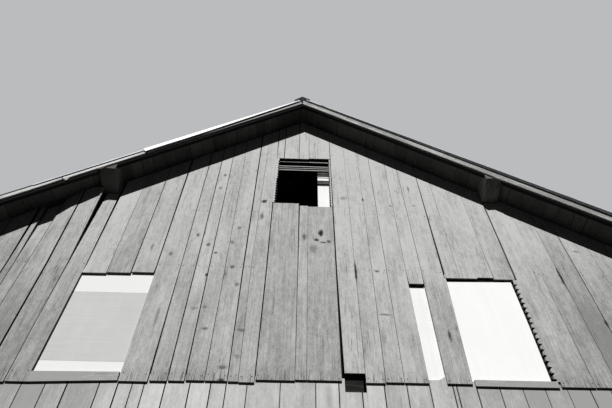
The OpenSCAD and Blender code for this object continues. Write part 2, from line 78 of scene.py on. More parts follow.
# %% Read the sizes
board_t, deck_t, barge_t = 28 * mm, 25 * mm, 28 * mm
rise = 0.75
slope_angle = math.atan(rise)
cos_slope, sin_slope = math.cos(slope_angle), math.sin(slope_angle)
deck_low, deck_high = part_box("right_roof_boards")
eave_x, deck_y = deck_high.x, deck_low.y
ridge_z = deck_high.z - deck_t / cos_slope
reach = eave_x / cos_slope
wall_out = -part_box("front_gable_boards")[0].y
wall_mid = wall_out - board_t
wall_in = wall_mid - board_t
side_out = -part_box("left_wall_upper")[0].x
side_mid = side_out - board_t
side_in = side_mid - board_t
lap_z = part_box("front_gable_boards")[0].z
foot_z, lower_top = [corner.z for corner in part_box("front_wall_boards")]
purlin_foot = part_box("right_purlin")[0].z
print(f"ridge {ridge_z:.3f}, lap {lap_z:.3f}, gable plane {wall_out:.3f}, side plane {side_out:.3f}")

# %% [markdown]
# ## Camera
# The photo was taken from close to the wall, low and steeply up, with a wide lens. The
# camera stands 5 m in front of the gable, at eye height, and is turned up by the angle at
# which the wall's upright seams run together as they do in the photo. It could be moved by
# hand until the picture fits, but numbers that are worked out from straight edges are
# surer, and can be read and changed later.

# %% Place the camera
eye_height, eye_distance = 1.6, 5.0
pitch, yaw, roll = math.radians(51.62), math.radians(1.0), math.radians(0.723)
lens = bpy.data.cameras.new("camera")
lens.sensor_width = 36
lens.lens = 29.41
lens.clip_end = 500
camera = bpy.data.objects.new("camera", lens)
bpy.context.scene.collection.objects.link(camera)
camera.location = (0, -wall_out - eye_distance, eye_height)
turn = Euler((math.pi / 2 + pitch, 0, -yaw)).to_matrix() @ Matrix.Rotation(roll, 3, "Z")
camera.rotation_euler = turn.to_euler()
bpy.context.scene.camera = camera
bpy.context.scene.view_settings.view_transform = "Standard"
print(f"camera at {eye_height} m, {eye_distance} m from the gable, lens {lens.lens:.2f} mm")

# %% [markdown]
# ## Small helpers for finishes
# Colours are written as sRGB hex values, as a paint chart gives them, and one function
# turns them linear. One function adds a node, sets it and links its inputs. Wood, iron and
# paint all need the same few steps: noise stretched along the grain, a range mapped to
# another, and sums. Patterns are sized in millimetres of the real piece.

# %% Colour and node helpers
def linear(hex_colour):
    parts = [int(hex_colour[i:i + 2], 16) / 255 for i in (1, 3, 5)]
    return [p / 12.92 if p <= 0.04045 else ((p + 0.055) / 1.055) ** 2.4 for p in parts] + [1]


def add(material, kind, inputs=None, **settings):
    new = material.node_tree.nodes.new("ShaderNode" + kind)
    for name, value in settings.items():
        setattr(new, name, value)
    for name, value in (inputs or {}).items():
        if isinstance(value, bpy.types.NodeSocket):
            material.node_tree.links.new(value, new.inputs[name])
        else:
            new.inputs[name].default_value = value
    return new


def new_material(name):
    material = bpy.data.materials.new(name)
    material.use_nodes = True
    material.node_tree.nodes.clear()
    return material


print(f"sRGB #808080 is {linear('#808080')[0]:.3f} in linear light")

# %% Helpers for sums and vectors
def band(material, value, low, high, to_low=0.0, to_high=1.0):
    """Maps the range from low to high onto the one from to_low to to_high."""
    return add(material, "MapRange", {0: value, 1: low, 2: high, 3: to_low, 4: to_high}).outputs[0]


def combine(material, operation, *values):
    """Joins the values one after another, or takes the operation of a single one."""
    result = values[0]
    for value in values[1:] or (0.0,):
        result = add(material, "Math", {0: result, 1: value}, operation=operation).outputs[0]
    return result


def vectors(material, operation, a, b=(0.0, 0.0, 0.0), output=0):
    return add(material, "VectorMath", {0: a, 1: b}, operation=operation).outputs[output]


def axis(material, vector, name):
    return add(material, "SeparateXYZ", {0: vector}).outputs[name]


def stretch(material, vector, width_mm, depth_mm, length_mm):
    """Scales a vector in metres so that one unit is width by depth by length, in mm."""
    return vectors(material, "MULTIPLY", vector, (1000 / width_mm, 1000 / depth_mm, 1000 / length_mm))


# %% Helpers for patterns
def noise(material, vector, size_mm, detail=2.0, roughness=0.5):
    """Noise whose patches have a width, depth and length in mm."""
    return add(material, "TexNoise", {"Vector": stretch(material, vector, *size_mm), "Scale": 1.0,
                                      "Detail": detail, "Roughness": roughness}).outputs[0]


def swing(material, vector, size_mm, amount, detail=2.0, roughness=0.5):
    """Noise that goes to and fro between -amount and amount."""
    return band(material, noise(material, vector, size_mm, detail, roughness), 0.3, 0.7, -amount, amount)


def hair_lines(material, vector, size_mm, width, depth=1.0, detail=2.0):
    """Thin lines along the grain, where a slow noise passes its middle value."""
    away = combine(material, "SUBTRACT", noise(material, vector, size_mm, detail), 0.5)
    return band(material, combine(material, "ABSOLUTE", away), 0.0, width, depth, 0)


def cells(material, vector):
    """Scattered cells: how far from its heart a place is, and each cell's chance number."""
    cell = add(material, "TexVoronoi", {"Vector": vector, "Scale": 1.0}).outputs
    return cell["Distance"], add(material, "SeparateColor", {0: cell["Color"]}).outputs[0]


def mix_colour(material, factor, a, b):
    return add(material, "Mix", {0: factor, 6: a, 7: b}, data_type="RGBA").outputs[2]


# %% Helpers for places and the finished surface
def object_place(material):
    return add(material, "TexCoord").outputs["Object"]


def board_inputs(material):
    grain = add(material, "Attribute", attribute_name="grain", attribute_type="GEOMETRY")
    tone = add(material, "Attribute", attribute_name="tone", attribute_type="GEOMETRY")
    return grain.outputs["Vector"], tone.outputs["Fac"], object_place(material)


def surface(material, colour, roughness, relief=None, height_mm=3.0, strength=0.4, metal=0.0):
    # dry wood and old paint hardly shine
    inputs = {"Base Color": colour, "Roughness": roughness, "Metallic": metal,
              "Specular IOR Level": 0.25 if metal else 0.08}
    if relief is not None:
        inputs["Normal"] = add(material, "Bump", {"Strength": strength, "Distance": height_mm * mm,
                                                  "Height": relief}).outputs[0]
    shader = add(material, "BsdfPrincipled", inputs)
    add(material, "OutputMaterial", {"Surface": shader.outputs[0]})
    return material


# %% [markdown]
# ## Floor, backdrop and light
# The barn stands on a plain pale floor. A low sun stands in front and a little to the
# left, as in the photo, where the overhang throws a hard shadow on the gable. Two soft
# lamps from behind light the roof and the back, and don't reach the front. For the eye
# and for reflections the world is pale; for the light on the barn it is dim, so that the
# underside of the roof stays dark. An area lamp would soften the shadow's edge, so all
# three are suns, and only the front one has the narrow angle of a clear sky.

# %% World
world = bpy.data.worlds.new("studio")
bpy.context.scene.world = world
world.use_nodes = True
world.node_tree.nodes.clear()
path = add(world, "LightPath").outputs
seen = combine(world, "MAXIMUM", path["Is Camera Ray"], path["Is Glossy Ray"], path["Is Transmission Ray"])
sky_light = add(world, "Background", {"Color": linear("#FFFFFF"), "Strength": 0.015})
backdrop = add(world, "Background", {"Color": linear("#BABCBE"), "Strength": 1.0})
either = add(world, "MixShader", {0: seen, 1: sky_light.outputs[0], 2: backdrop.outputs[0]})
add(world, "OutputWorld", {"Surface": either.outputs[0]})
print("world nodes:", len(world.node_tree.nodes))

# %% Floor
bpy.ops.object.select_all(action="DESELECT")
bpy.ops.mesh.primitive_plane_add(size=400, location=(0, 0, 0))
floor = bpy.context.object
floor.name = "floor"
pale_floor = new_material("pale_floor")
path = add(pale_floor, "LightPath").outputs
shown = add(pale_floor, "BsdfDiffuse", {"Color": linear("#CFCFCF")})
bounced = add(pale_floor, "BsdfDiffuse", {"Color": linear("#202020")})
either = add(pale_floor, "MixShader", {0: path["Is Camera Ray"], 1: bounced.outputs[0], 2: shown.outputs[0]})
add(pale_floor, "OutputMaterial", {"Surface": either.outputs[0]})
floor.data.materials.append(pale_floor)
print("floor:", [round(side) for side in floor.dimensions[:2]], "m")

# %% Lamps
def add_sun(name, azimuth, elevation, strength, softness):
    """A sun that stands at azimuth degrees to the left of the front, as the camera sees it."""
    lamp = bpy.data.lights.new(name, "SUN")
    lamp.energy = strength
    lamp.angle = math.radians(softness)
    sun = bpy.data.objects.new(name, lamp)
    bpy.context.scene.collection.objects.link(sun)
    a, e = math.radians(azimuth), math.radians(elevation)
    towards = Vector((-math.sin(a) * math.cos(e), -math.cos(a) * math.cos(e), math.sin(e)))
    sun.rotation_euler = towards.to_track_quat("Z", "Y").to_euler()


add_sun("front_sun", 6.5, 34, 3.75, 0.8)
add_sun("back_left_lamp", 130, 40, 2.4, 20)
add_sun("back_right_lamp", -130, 40, 2.4, 20)
print("lamps:", [lamp.name for lamp in bpy.data.lights])

# %% [markdown]
# ## Planks
# A board is sawn to a width, nailed up, and then moves as it dries: its edges run a
# little out of line and gaps open between it and its neighbours. Each board starts as a
# cube at its size and place, has its edges eased, and is then cut and nudged. All the
# boards of a wall are made in one mesh. One wide panel with lines drawn on it would be
# quicker, but a gap has to be real to hold a shadow. Two attributes go with each board:
# where its grain runs, shifted by chance so that no two boards match, and its own tone.

# %% Helpers that open a piece
def edit(piece):
    bpy.ops.object.select_all(action="DESELECT")
    piece.select_set(True)
    bpy.context.view_layer.objects.active = piece
    bpy.ops.object.mode_set(mode="EDIT")


def open_piece(name):
    piece = bpy.data.objects.new(name, bpy.data.meshes.new(name))
    bpy.context.scene.collection.objects.link(piece)
    edit(piece)
    return piece


# %% Helpers that pick, move and cut
def pick(piece, chosen):
    """Keeps selected only the vertices of the newest plank for which chosen(place) is true."""
    shape = bmesh.from_edit_mesh(piece.data)
    plank = [v for v in shape.verts if v.select]
    for v in plank:
        v.select = chosen(v.co)
    shape.select_flush_mode()
    return any(v.select for v in plank)


def move_part(piece, chosen, shift):
    """Moves the vertices of the newest plank for which chosen(place) is true."""
    if pick(piece, chosen):
        bpy.ops.transform.translate(value=shift)
    bpy.ops.mesh.select_linked()


def extrude_part(piece, chosen, shift):
    pick(piece, chosen)
    bpy.ops.mesh.extrude_region_move(TRANSFORM_OT_translate={"value": shift})
    bpy.ops.mesh.select_linked()


def cut_off(place, outward):
    """Cuts off what lies outside a plane, and closes the cut."""
    bpy.ops.mesh.bisect(plane_co=place, plane_no=outward, use_fill=True, clear_outer=True)
    bpy.ops.mesh.select_linked()


def split_at(letter, place):
    """Cuts the newest plank across at a place along X, Y or Z, and keeps both parts."""
    along = Vector([float(letter == other) for other in "XYZ"])
    bpy.ops.mesh.bisect(plane_co=along * place, plane_no=along)
    bpy.ops.mesh.select_linked()


# %% Helpers that add planks and grids
def add_plank(low, high, ease=2 * mm):
    middle = [(a + b) / 2 for a, b in zip(low, high)]
    size = [b - a for a, b in zip(low, high)]
    bpy.ops.mesh.primitive_cube_add(size=1, location=middle, scale=size)
    bpy.ops.mesh.bevel(offset=ease, segments=1, affect="EDGES")
    bpy.ops.mesh.select_linked()


def add_grid(x0, x1, y0, y1, z, across, along):
    """A level grid from x0 to x1 and y0 to y1, its new vertices selected."""
    middle = ((x0 + x1) / 2, (y0 + y1) / 2, z)
    bpy.ops.mesh.select_all(action="DESELECT")
    bpy.ops.mesh.primitive_grid_add(size=1, x_subdivisions=across, y_subdivisions=along, location=middle)
    bpy.ops.transform.resize(value=(x1 - x0, y1 - y0, 1), center_override=middle)


# %% Helpers that mark the grain and close a piece
def grain_layers(shape):
    layers = shape.verts.layers
    return (layers.float_vector.get("grain") or layers.float_vector.new("grain"),
            layers.float.get("tone") or layers.float.new("tone"))


def grain_shift():
    return Vector((chance.uniform(0, 40), chance.uniform(0, 40), chance.uniform(0, 400)))


def mark_plank(piece, along, tone):
    """Writes the newest plank's grain: the third number runs along the board, in metres."""
    shape = bmesh.from_edit_mesh(piece.data)
    grain, tones = grain_layers(shape)
    order = {"X": (1, 2, 0), "Y": (0, 2, 1), "Z": (0, 1, 2)}[along]
    shift = grain_shift()
    for v in shape.verts:
        if v.select:
            v[grain] = Vector([v.co[i] for i in order]) + shift
            v[tones] = tone
    bpy.ops.mesh.select_all(action="DESELECT")


def close_piece(piece, material, nodes=()):
    bpy.ops.object.mode_set(mode="OBJECT")
    piece.data.materials.append(material)
    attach(piece, "root")
    if nodes:
        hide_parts(*nodes)
    piece.data.update()
    print(f"{piece.name}: {len(piece.data.polygons)} faces")
    return piece


# %% [markdown]
# ## Weathered boards
# Sawn softwood that was never painted, or has lost its paint, turns silver grey. Rain and
# sun wash out the soft wood between the growth rings, so that it feels ribbed along the
# grain; it opens fine checks, and its knots stay dark. A picture of wood could be laid on,
# but it would repeat from board to board; noise that is stretched along each board's grain
# doesn't. The finish is layered in the order of the real one: broad stains, streaks a few
# centimetres wide, fine grain, checks, and knots.

# %% The boards' finish
def weathered_wood(name, dark, light, lift=0.0, knots=(), streaks=0.2, checks=0.8, board_spread=0.2,
                   mottling=0.22, splits=0.9, corners=0.0, edges=0.0):
    """Grain follows each board's own attribute. lift lightens the wood towards the ridge,
    where the overhang keeps the rain off. corners darkens it low down at both sides, as painted
    shade with some splash stains, and edges paints shade, near black, on the faces that point
    down or away from the sun: the boards' feet and their shaded edges."""
    wood = new_material(name)
    grain, tone, place = board_inputs(wood)
    height = axis(wood, place, "Z")
    aside = combine(wood, "ABSOLUTE", axis(wood, place, "X"))
    # painted shade: darker low down towards both sides
    corner = combine(wood, "MULTIPLY", band(wood, aside, 1.5, 4.0, 0, -corners),
                     band(wood, height, 5.3, 7.0, 1, 0))

    stain = swing(wood, grain, (240, 240, 900), 0.2, 3)
    # streaks are drawn wider than the 5 mm of real growth rings, so that they show from afar
    streak = swing(wood, grain, (20, 60, 900), streaks, 5, 0.62)
    fine = swing(wood, grain, (5, 30, 180), 0.14, 3)
    # weathered wood is mottled as well: grey bloom a hand wide, and specks of dirt and lichen
    mottle = swing(wood, grain, (60, 60, 110), mottling, 4, 0.7)
    speck = swing(wood, grain, (13, 13, 26), mottling, 2, 0.8)
    board = band(wood, tone, 0, 1, -board_spread, board_spread)
    sheltered = band(wood, height, 4.7, 9.5, 0, lift)
    level = combine(wood, "ADD", stain, streak, fine, mottle, speck, board, sheltered, corner, 0.5)
    body = mix_colour(wood, level, linear(dark), linear(light))

    # hair cracks run along the grain in places, and a board's foot dries and splits first
    where = band(wood, noise(wood, grain, (150, 150, 500), 1), 0.5, 0.6)
    crack = combine(wood, "MULTIPLY", hair_lines(wood, grain, (30, 90, 1600), 0.011), where, checks)
    split = combine(wood, "MULTIPLY", hair_lines(wood, grain, (24, 90, 900), 0.03),
                    band(wood, height, 4.76, 4.9, splits, 0))
    crack = combine(wood, "MAXIMUM", crack, split)

    # knots: one in about every third cell of 0.2 m by 0.8 m
    wander = add(wood, "TexNoise", {"Vector": grain, "Scale": 14.0, "Detail": 2.0}).outputs["Color"]
    shaken = add(wood, "Mix", {0: 0.035, 4: stretch(wood, grain, 200, 1e9, 800), 5: wander},
                 data_type="VECTOR").outputs[1]
    distance, number = cells(wood, shaken)
    heart = band(wood, distance, 0.04, 0.1, 0.6, 0)
    halo = band(wood, distance, 0.08, 0.3, 0.28, 0)
    knot = combine(wood, "MULTIPLY", combine(wood, "MAXIMUM", heart, halo),
                   combine(wood, "GREATER_THAN", number, 0.66))

    # knots and smudges that the photo shows, at their own places
    for x, z, width, tall, depth in knots:
        offset = vectors(wood, "SUBTRACT", place, (x, -wall_out, z))
        bent = vectors(wood, "ADD", stretch(wood, offset, width / 2, 125, tall / 2), wander)
        away = vectors(wood, "LENGTH", vectors(wood, "SUBTRACT", bent, (0.5, 0.5, 0.5)), output="Value")
        knot = combine(wood, "MAXIMUM", knot, band(wood, away, 0.42, 1.08, depth, 0))

    marks = combine(wood, "MAXIMUM", crack, knot)
    # painted shade, near black, on faces that point down or away from the sun: the feet and the shaded edges
    if edges:
        normal = add(wood, "NewGeometry").outputs["True Normal"]
        turned = combine(wood, "MAXIMUM", axis(wood, normal, "X"),
                         combine(wood, "MULTIPLY", axis(wood, normal, "Z"), -1))
        marks = combine(wood, "MAXIMUM", marks, band(wood, turned, 0.4, 0.7, 0, edges))
    colour = mix_colour(wood, marks, body, linear("#2A2928" if edges else "#333231"))
    relief = combine(wood, "SUBTRACT", combine(wood, "ADD", streak, fine), crack)
    return surface(wood, colour, 0.88, relief, 4.0, 0.4)


# %% Knots that the photo shows
# x and height in metres, width and height of the mark in mm, and how dark it is
photo_knots = [
    (-1.31, 8.66, 70, 95, 0.65), (-1.34, 8.28, 70, 85, 0.6), (-0.586, 7.95, 100, 110, 0.96),
    (-0.60, 7.58, 75, 190, 0.65), (-1.507, 7.11, 55, 95, 0.75), (-1.318, 6.91, 80, 95, 0.7),
    (-0.914, 7.29, 80, 95, 0.62), (-0.986, 6.97, 75, 115, 0.55), (-1.193, 6.74, 55, 65, 0.85),
    (-1.818, 6.70, 80, 95, 0.6), (-2.114, 6.84, 60, 145, 0.5), (-0.918, 6.47, 85, 85, 0.75),
    (-0.818, 6.15, 75, 85, 0.6), (-1.254, 6.31, 45, 70, 0.98), (-1.75, 5.6, 55, 420, 0.45),
    (-1.314, 5.734, 110, 75, 0.5), (-1.179, 5.754, 75, 65, 0.5), (-1.123, 5.42, 95, 50, 0.65),
    (-0.684, 5.41, 110, 65, 0.55), (-0.69, 5.04, 110, 75, 0.42), (-0.832, 4.89, 135, 80, 0.72),
    (-0.831, 4.725, 110, 60, 0.95), (0.318, 7.22, 95, 170, 1.0), (0.25, 7.065, 90, 70, 0.95),
    (0.344, 7.013, 115, 45, 0.85), (0.43, 7.035, 80, 75, 0.75), (0.071, 7.13, 75, 170, 0.7),
    (0.21, 6.87, 150, 230, 0.45), (1.014, 8.07, 35, 110, 0.95), (0.70, 8.09, 150, 95, 0.45),
    (0.786, 6.43, 42, 420, 1.0), (1.08, 6.457, 80, 55, 0.75), (1.45, 7.92, 60, 55, 0.6),
    (1.83, 7.94, 70, 55, 0.5), (1.11, 5.70, 190, 45, 0.6), (1.864, 5.40, 45, 200, 0.8),
    (1.81, 8.38, 36, 200, 0.65), (3.63, 6.42, 44, 520, 1.0), (3.90, 5.65, 44, 150, 0.95),
    (4.057, 6.953, 100, 60, 0.5),
]
print("knots from the photo:", len(photo_knots))

# %% Boards of every kind
# silver grey boards with dark knots, paler under the roof, with painted shade low at the sides and on the
# shaded edges
front_wood = weathered_wood("weathered_front_boards", "#8A8A88", "#C8C8C6", 0.42, photo_knots,
                            corners=0.45, edges=0.9)
side_wood = weathered_wood("weathered_boards", "#8A8A88", "#C2C2C0", 0.12)
# the lower storey is smoother and paler, with painted shade low at the sides and on the shaded edges
lower_wood = weathered_wood("weathered_lower_boards", "#A2A2A0", "#D8D8D6", streaks=0.1, checks=0.3,
                            mottling=0.16, splits=0, corners=1.0, edges=0.9)
side_lower_wood = weathered_wood("weathered_side_lower_boards", "#A2A2A0", "#D8D8D6", streaks=0.1,
                                 checks=0.3, mottling=0.16, splits=0)
# pale and strongly streaked, the last of a coat of paint
barge_wood = weathered_wood("weathered_barge_boards", "#8E8E8C", "#DCDCDA", streaks=0.4, board_spread=0.3)
# the roof boards are nearly black under the roof: their own dark tone is deepened as painted shade
roof_wood = weathered_wood("dark_roof_boards", "#3F3E3D", "#5E5D5C", board_spread=0.3)
# old shingles, nearly black
shingle_wood = weathered_wood("old_shingles", "#262524", "#403F3E", board_spread=0.3)
# nearly black as painted shade, for the board seen through the hole
shaded_hole_wood = weathered_wood("shaded_backing_board", "#191918", "#2B2B2A")
# dark and dull, for the post behind the white boards in the hay opening
post_wood = weathered_wood("dark_post", "#2C2B2A", "#6E6D6B")
# paler hewn timber for the left purlin, as painted light: it lies in deeper shade than the right one
pale_timber = weathered_wood("pale_hewn_timber", "#525150", "#757371", streaks=0.3)
# trodden paler than the roof boards
floor_wood = weathered_wood("worn_floor_boards", "#7A7876", "#A9A7A4")
print("nodes in the front boards' finish:", len(front_wood.node_tree.nodes))

# %% [markdown]
# ## Old timber
# The frame is of hewn and sawn timber that has gone dark in the dry. An axe leaves broad
# shallow facets across the grain, and a thick timber opens one or two long checks. They
# could be cut into the mesh, but are only a few millimetres deep, so a bump made from
# scattered cells and hair lines shows them as well, and every timber can share it.

# %% Timber finish
def old_timber_finish(name, outside=1.0):
    """outside is how much of its colour a timber keeps where it sticks out of the front gable; the
    rest is painted shade, near black. The part of each timber that lies behind the boards gets
    painted shade as well, so that the seams between the boards look black."""
    wood = new_material(name)
    grain, tone, place = board_inputs(wood)
    streak = swing(wood, grain, (30, 30, 1100), 0.3, 5, 0.6)
    stain = swing(wood, grain, (500, 500, 1300), 0.25)
    board = band(wood, tone, 0, 1, -0.4, 0.4)
    level = combine(wood, "ADD", streak, stain, board, 0.5)
    body = mix_colour(wood, level, linear("#525150"), linear("#8C8A88"))
    facet = cells(wood, stretch(wood, grain, 160, 160, 110))[0]
    check = hair_lines(wood, grain, (90, 90, 2600), 0.012, 0.85, 1)
    along = axis(wood, place, "Y")
    # painted shade on what sticks out of the front gable
    outside_shade = band(wood, along, -wall_out - 0.1, -wall_out, 1 - outside, 0)
    # painted shade on the part that lies behind the boards, seen down the seams
    seam_shade = combine(wood, "MULTIPLY", band(wood, along, -wall_out - 5 * mm, -wall_out),
                      band(wood, along, -wall_in + 2 * mm, -wall_in + 6 * mm, 0.97, 0))
    colour = mix_colour(wood, combine(wood, "MAXIMUM", check, outside_shade, seam_shade), body, linear("#121212"))
    relief = combine(wood, "SUBTRACT", combine(wood, "ADD", facet, streak), check)
    return surface(wood, colour, 0.9, relief, 7.0, 0.5)


# grey brown with dark checks; the rafters get painted shade, near black, where they stick out
timber_wood = old_timber_finish("hewn_timber")
rafter_wood = old_timber_finish("rafter_timber", 0.03)
print("timber finishes:", timber_wood.name, rafter_wood.name)

# %% [markdown]
# ## Galvanised iron
# Zinc shows as a patchwork of grey crystals when new and dulls to a pale grey. Rust
# comes first where sheets lap and at their edges, and washes down the waves from there.
# One finish does both: cells for the crystals, and noise stretched down the slope for the
# rust, which also makes the metal rougher where it lies.

# %% Iron finish
def iron_finish(name, dull, bright, rust_share):
    iron = new_material(name)
    place = object_place(iron)
    patch = cells(iron, stretch(iron, place, 22, 22, 22))[1]
    cloud = noise(iron, place, (700, 700, 700), 4, 0.6)
    level = combine(iron, "ADD", band(iron, patch, 0, 1, -0.15, 0.15), band(iron, cloud, 0.3, 0.7, 0.1, 0.9))
    zinc_colour = mix_colour(iron, level, linear(dull), linear(bright))
    # rust runs down the slope, so its noise is stretched along X and Z
    streak = combine(iron, "ADD", noise(iron, place, (900, 60, 900), 5, 0.65),
                     band(iron, cloud, 0.3, 0.7, -0.1, 0.1))
    rust = band(iron, streak, 0.72 - rust_share, 0.78 - rust_share, 0, 0.75)
    grains = noise(iron, place, (12, 12, 12), 3)
    brown = mix_colour(iron, grains, linear("#3E3C3A"), linear("#6E6B68"))
    roughness = band(iron, rust, 0, 0.75, 0.42, 0.85)
    return surface(iron, mix_colour(iron, rust, zinc_colour, brown), roughness,
                   combine(iron, "ADD", grains, rust), 0.8, 0.25, 0.25)


# dull and cloudy with streaks of rust, newer and brighter at the verge, black on the nails
zinc = iron_finish("galvanised_sheet_iron", "#9DA0A2", "#D5D8DA", 0.09)
bright_zinc = iron_finish("bright_verge_iron", "#D8DADB", "#F6F7F7", 0.0)
nail_iron = iron_finish("rusty_nail_iron", "#1C1B1A", "#34322F", 0.3)
print("iron finishes:", zinc.name, bright_zinc.name, nail_iron.name)


# %% Wavy sheet of the right window, painted dark as shade
def shaded_sheet_finish():
    """Behind the flat sheet the wavy one gets painted shade, near black, a little less on its crests."""
    iron = new_material("shaded_window_sheet")
    place = object_place(iron)
    depth = combine(iron, "ADD", axis(iron, place, "Y"), swing(iron, place, (40, 40, 25), 3 * mm, 3))
    trough_shade = band(iron, depth, -wall_in - 16 * mm, -wall_in - 8 * mm)
    return surface(iron, mix_colour(iron, trough_shade, linear("#343433"), linear("#0E0E0E")), 0.8)


shaded_wavy_sheet = shaded_sheet_finish()
print("shade_painted finish:", shaded_wavy_sheet.name)

# %% [markdown]
# ## White boards and sheets
# The window openings are closed with white boards: brush marks and the board's own grain
# run level, and rain has left faint runs and flecks. One coat goes over all the boards of
# a window, so this finish follows the place on the barn and not the grain of each board.

# %% Painted finish
def painted_finish(name, worn, fresh, along, bands=()):
    """bands are heights between which the paint is fresher, as the photo shows."""
    paint = new_material(name)
    place = object_place(paint)
    brush = swing(paint, place, (700, 300, 14) if along == "X" else (14, 300, 700), 0.3, 4, 0.6)
    runs = band(paint, noise(paint, place, (60, 300, 800), 3), 0.35, 0.75, -0.15, 0.15)
    cloud = swing(paint, place, (350, 300, 350), 0.2, 3)
    colour = mix_colour(paint, combine(paint, "ADD", brush, runs, cloud, 0.5), linear(worn), linear(fresh))
    height = axis(paint, place, "Z")
    for low, high in bands:
        inside = combine(paint, "MULTIPLY", band(paint, height, low - 0.004, low + 0.004),
                         band(paint, height, high - 0.004, high + 0.004, 1, 0), 0.8)
        colour = mix_colour(paint, inside, colour, linear("#F4F4F2"))
    fleck = band(paint, noise(paint, place, (18, 18, 30), 4, 0.7), 0.7, 0.74, 0, 0.35)
    colour = mix_colour(paint, fleck, colour, linear("#8E8C88"))
    return surface(paint, colour, 0.6, combine(paint, "ADD", brush, fleck), 1.0, 0.3)


# grey white and worn, with a fresher board at the foot and at the head; the others are bright
band_low, band_high = 4.955, 5.99
window_white = painted_finish("worn_white_board", "#C4C4C2", "#D0D0CE", "X",
                              [(band_high, 6.35), (4.77, band_low)])
plain_white = painted_finish("white_board_paint", "#EEEEEC", "#FBFBFA", "Z")
sheet_white = painted_finish("white_sheet_enamel", "#F6F6F5", "#FDFDFC", "Z")
print("white finishes:", window_white.name, plain_white.name, sheet_white.name)

# %% [markdown]
# ## The front's upper boards
# The seams of the photo's boards are written once, at three heights: at the foot, at the
# nailing board over the windows, and under the roof. The width of the gap goes with each.
# Boards of chance widths would be easier, but these are the ones that can be compared
# with the photo. A board is a plank between two seams, split at the nail row so that its
# edges can run out of line there.

# %% Seams of the upper boards
nail_row_z = 6.45
# X of the seam at the foot, at the nail row and at the top, then the gap's width there, mm
full_seams = {
    "edge_left": (-5556, -5556, -5556, 0, 0, 0), "l9": (-5310, -5310, -5312, 4, 4, 6),
    "l8": (-5070, -5068, -5072, 5, 3, 8), "l7": (-4830, -4833, -4828, 4, 6, 4),
    "l6": (-4595, -4592, -4600, 6, 4, 10), "l5": (-4360, -4362, -4370, 4, 4, 8),
    "l4": (-3995, -4010, -4056, 8, 18, 40), "l3": (-3890, -3912, -3957, 3, 8, 40),
    "l2": (-3750, -3738, -3745, 6, 4, 3), "l1": (-3450, -3468, -3530, 22, 22, 14),
    "l0": (-3196, -3190, -3184, 8, 2, 114), "window_left": (-2944, -2922, -2927, 20, 12, 38),
    "a0": (-1966, -1958, -1952, 9, 12, 24), "a1": (-1632, -1630, -1632, 18, 7, 10),
    "a2": (-1424, -1421, -1424, 12, 11, 10), "a3": (-1232, -1237, -1241, 13, 10, 5),
    "a4": (-1015, -1016, -1030, 6, 4, 1), "a5": (-761, -768, -757, 8, 14, 16),
    "a6": (-640, -660, -622, 3, 2, 3), "hay_left": (-460, -447, -451, 8, 12, 7),
    "hay_right": (530, 524, 517, 38, 13, 7), "b0": (784, 783, 769, 4, 2, 1),
    "b1": (1006, 1014, 1014, 6, 3, 2), "b2": (1218, 1217, 1212, 4, 5, 6),
    "slit_left": (1494, 1485, 1487, 4, 3, 4), "slit_right": (1696, 1702, 1690, 4, 5, 6),
    "window_right": (1985, 2008, 1996, 4, 26, 7), "c0": (2979, 2988, 2985, 14, 21, 18),
    "c1": (3373, 3370, 3358, 5, 2, 3), "c2": (3632, 3640, 3625, 6, 6, 2),
    "c3": (3895, 3919, 3922, 8, 12, 8), "c4": (4270, 4272, 4268, 3, 3, 4),
    "c5": (4530, 4532, 4528, 5, 3, 6), "c6": (4790, 4788, 4792, 3, 5, 3),
    "c7": (5050, 5052, 5048, 5, 4, 6), "c8": (5310, 5308, 5312, 4, 4, 5),
    "edge_right": (5556, 5556, 5556, 0, 0, 0),
}
short_seams = {
    "w1": (-2604, -2604, -2604, 4, 4, 2), "w2": (-2275, -2275, -2278, 12, 12, 6),
    "h1": (-318, -318, -318, 10, 10, 8), "h2": (-50, -50, -48, 7, 7, 8),
    "h3": (132, 132, 131, 4, 4, 4), "v1": (2214, 2214, 2198, 3, 2, 4),
    "v2": (2683, 2683, 2656, 4, 5, 4),
}
# Boards whose heads have sprung from their nails: how far the left and the right corner
# of the head stand out, mm. The photo shows it by the wide gap and the stepped shadow
sprung_boards = {"l9": (20, 30), "l8": (30, 40), "l7": (40, 50), "l6": (50, 60), "l5": (60, 65),
                 "l4": (65, 70), "l2": (70, 120), "l1": (120, 135)}
# the share of it at the foot, at the nail row and at the top
sprung_share = (0, 0.15, 1)
# a board that stands out further than this meets the purlin and ends under it, mm
meets_purlin = 130
# how high a chip is, and how wide the step beside the slit is and over what height it slopes
chip_h, step_w, step_slope = 20 * mm, 24 * mm, 12 * mm
print("seams:", len(full_seams), "full and", len(short_seams), "short")


# %% Helpers for upright boards
def roof_at(x):
    return ridge_z - rise * abs(x)


def board_edges(left, right):
    """A board's left and right edge at the three heights, from its two seams, in metres. The
    seams are as the camera sees them, so a sprung corner is drawn nearer to the middle."""
    edges = []
    for seam, half_gap, out in zip((left, right), (0.5, -0.5), sprung_boards.get(left, (0, 0))):
        numbers = (full_seams.get(seam) or short_seams[seam])
        nearer = [1 - out * mm * share / eye_distance for share in sprung_share]
        edges.append([(x + gap * half_gap) * mm * n for x, gap, n in zip(numbers[:3], numbers[3:], nearer)])
    return edges


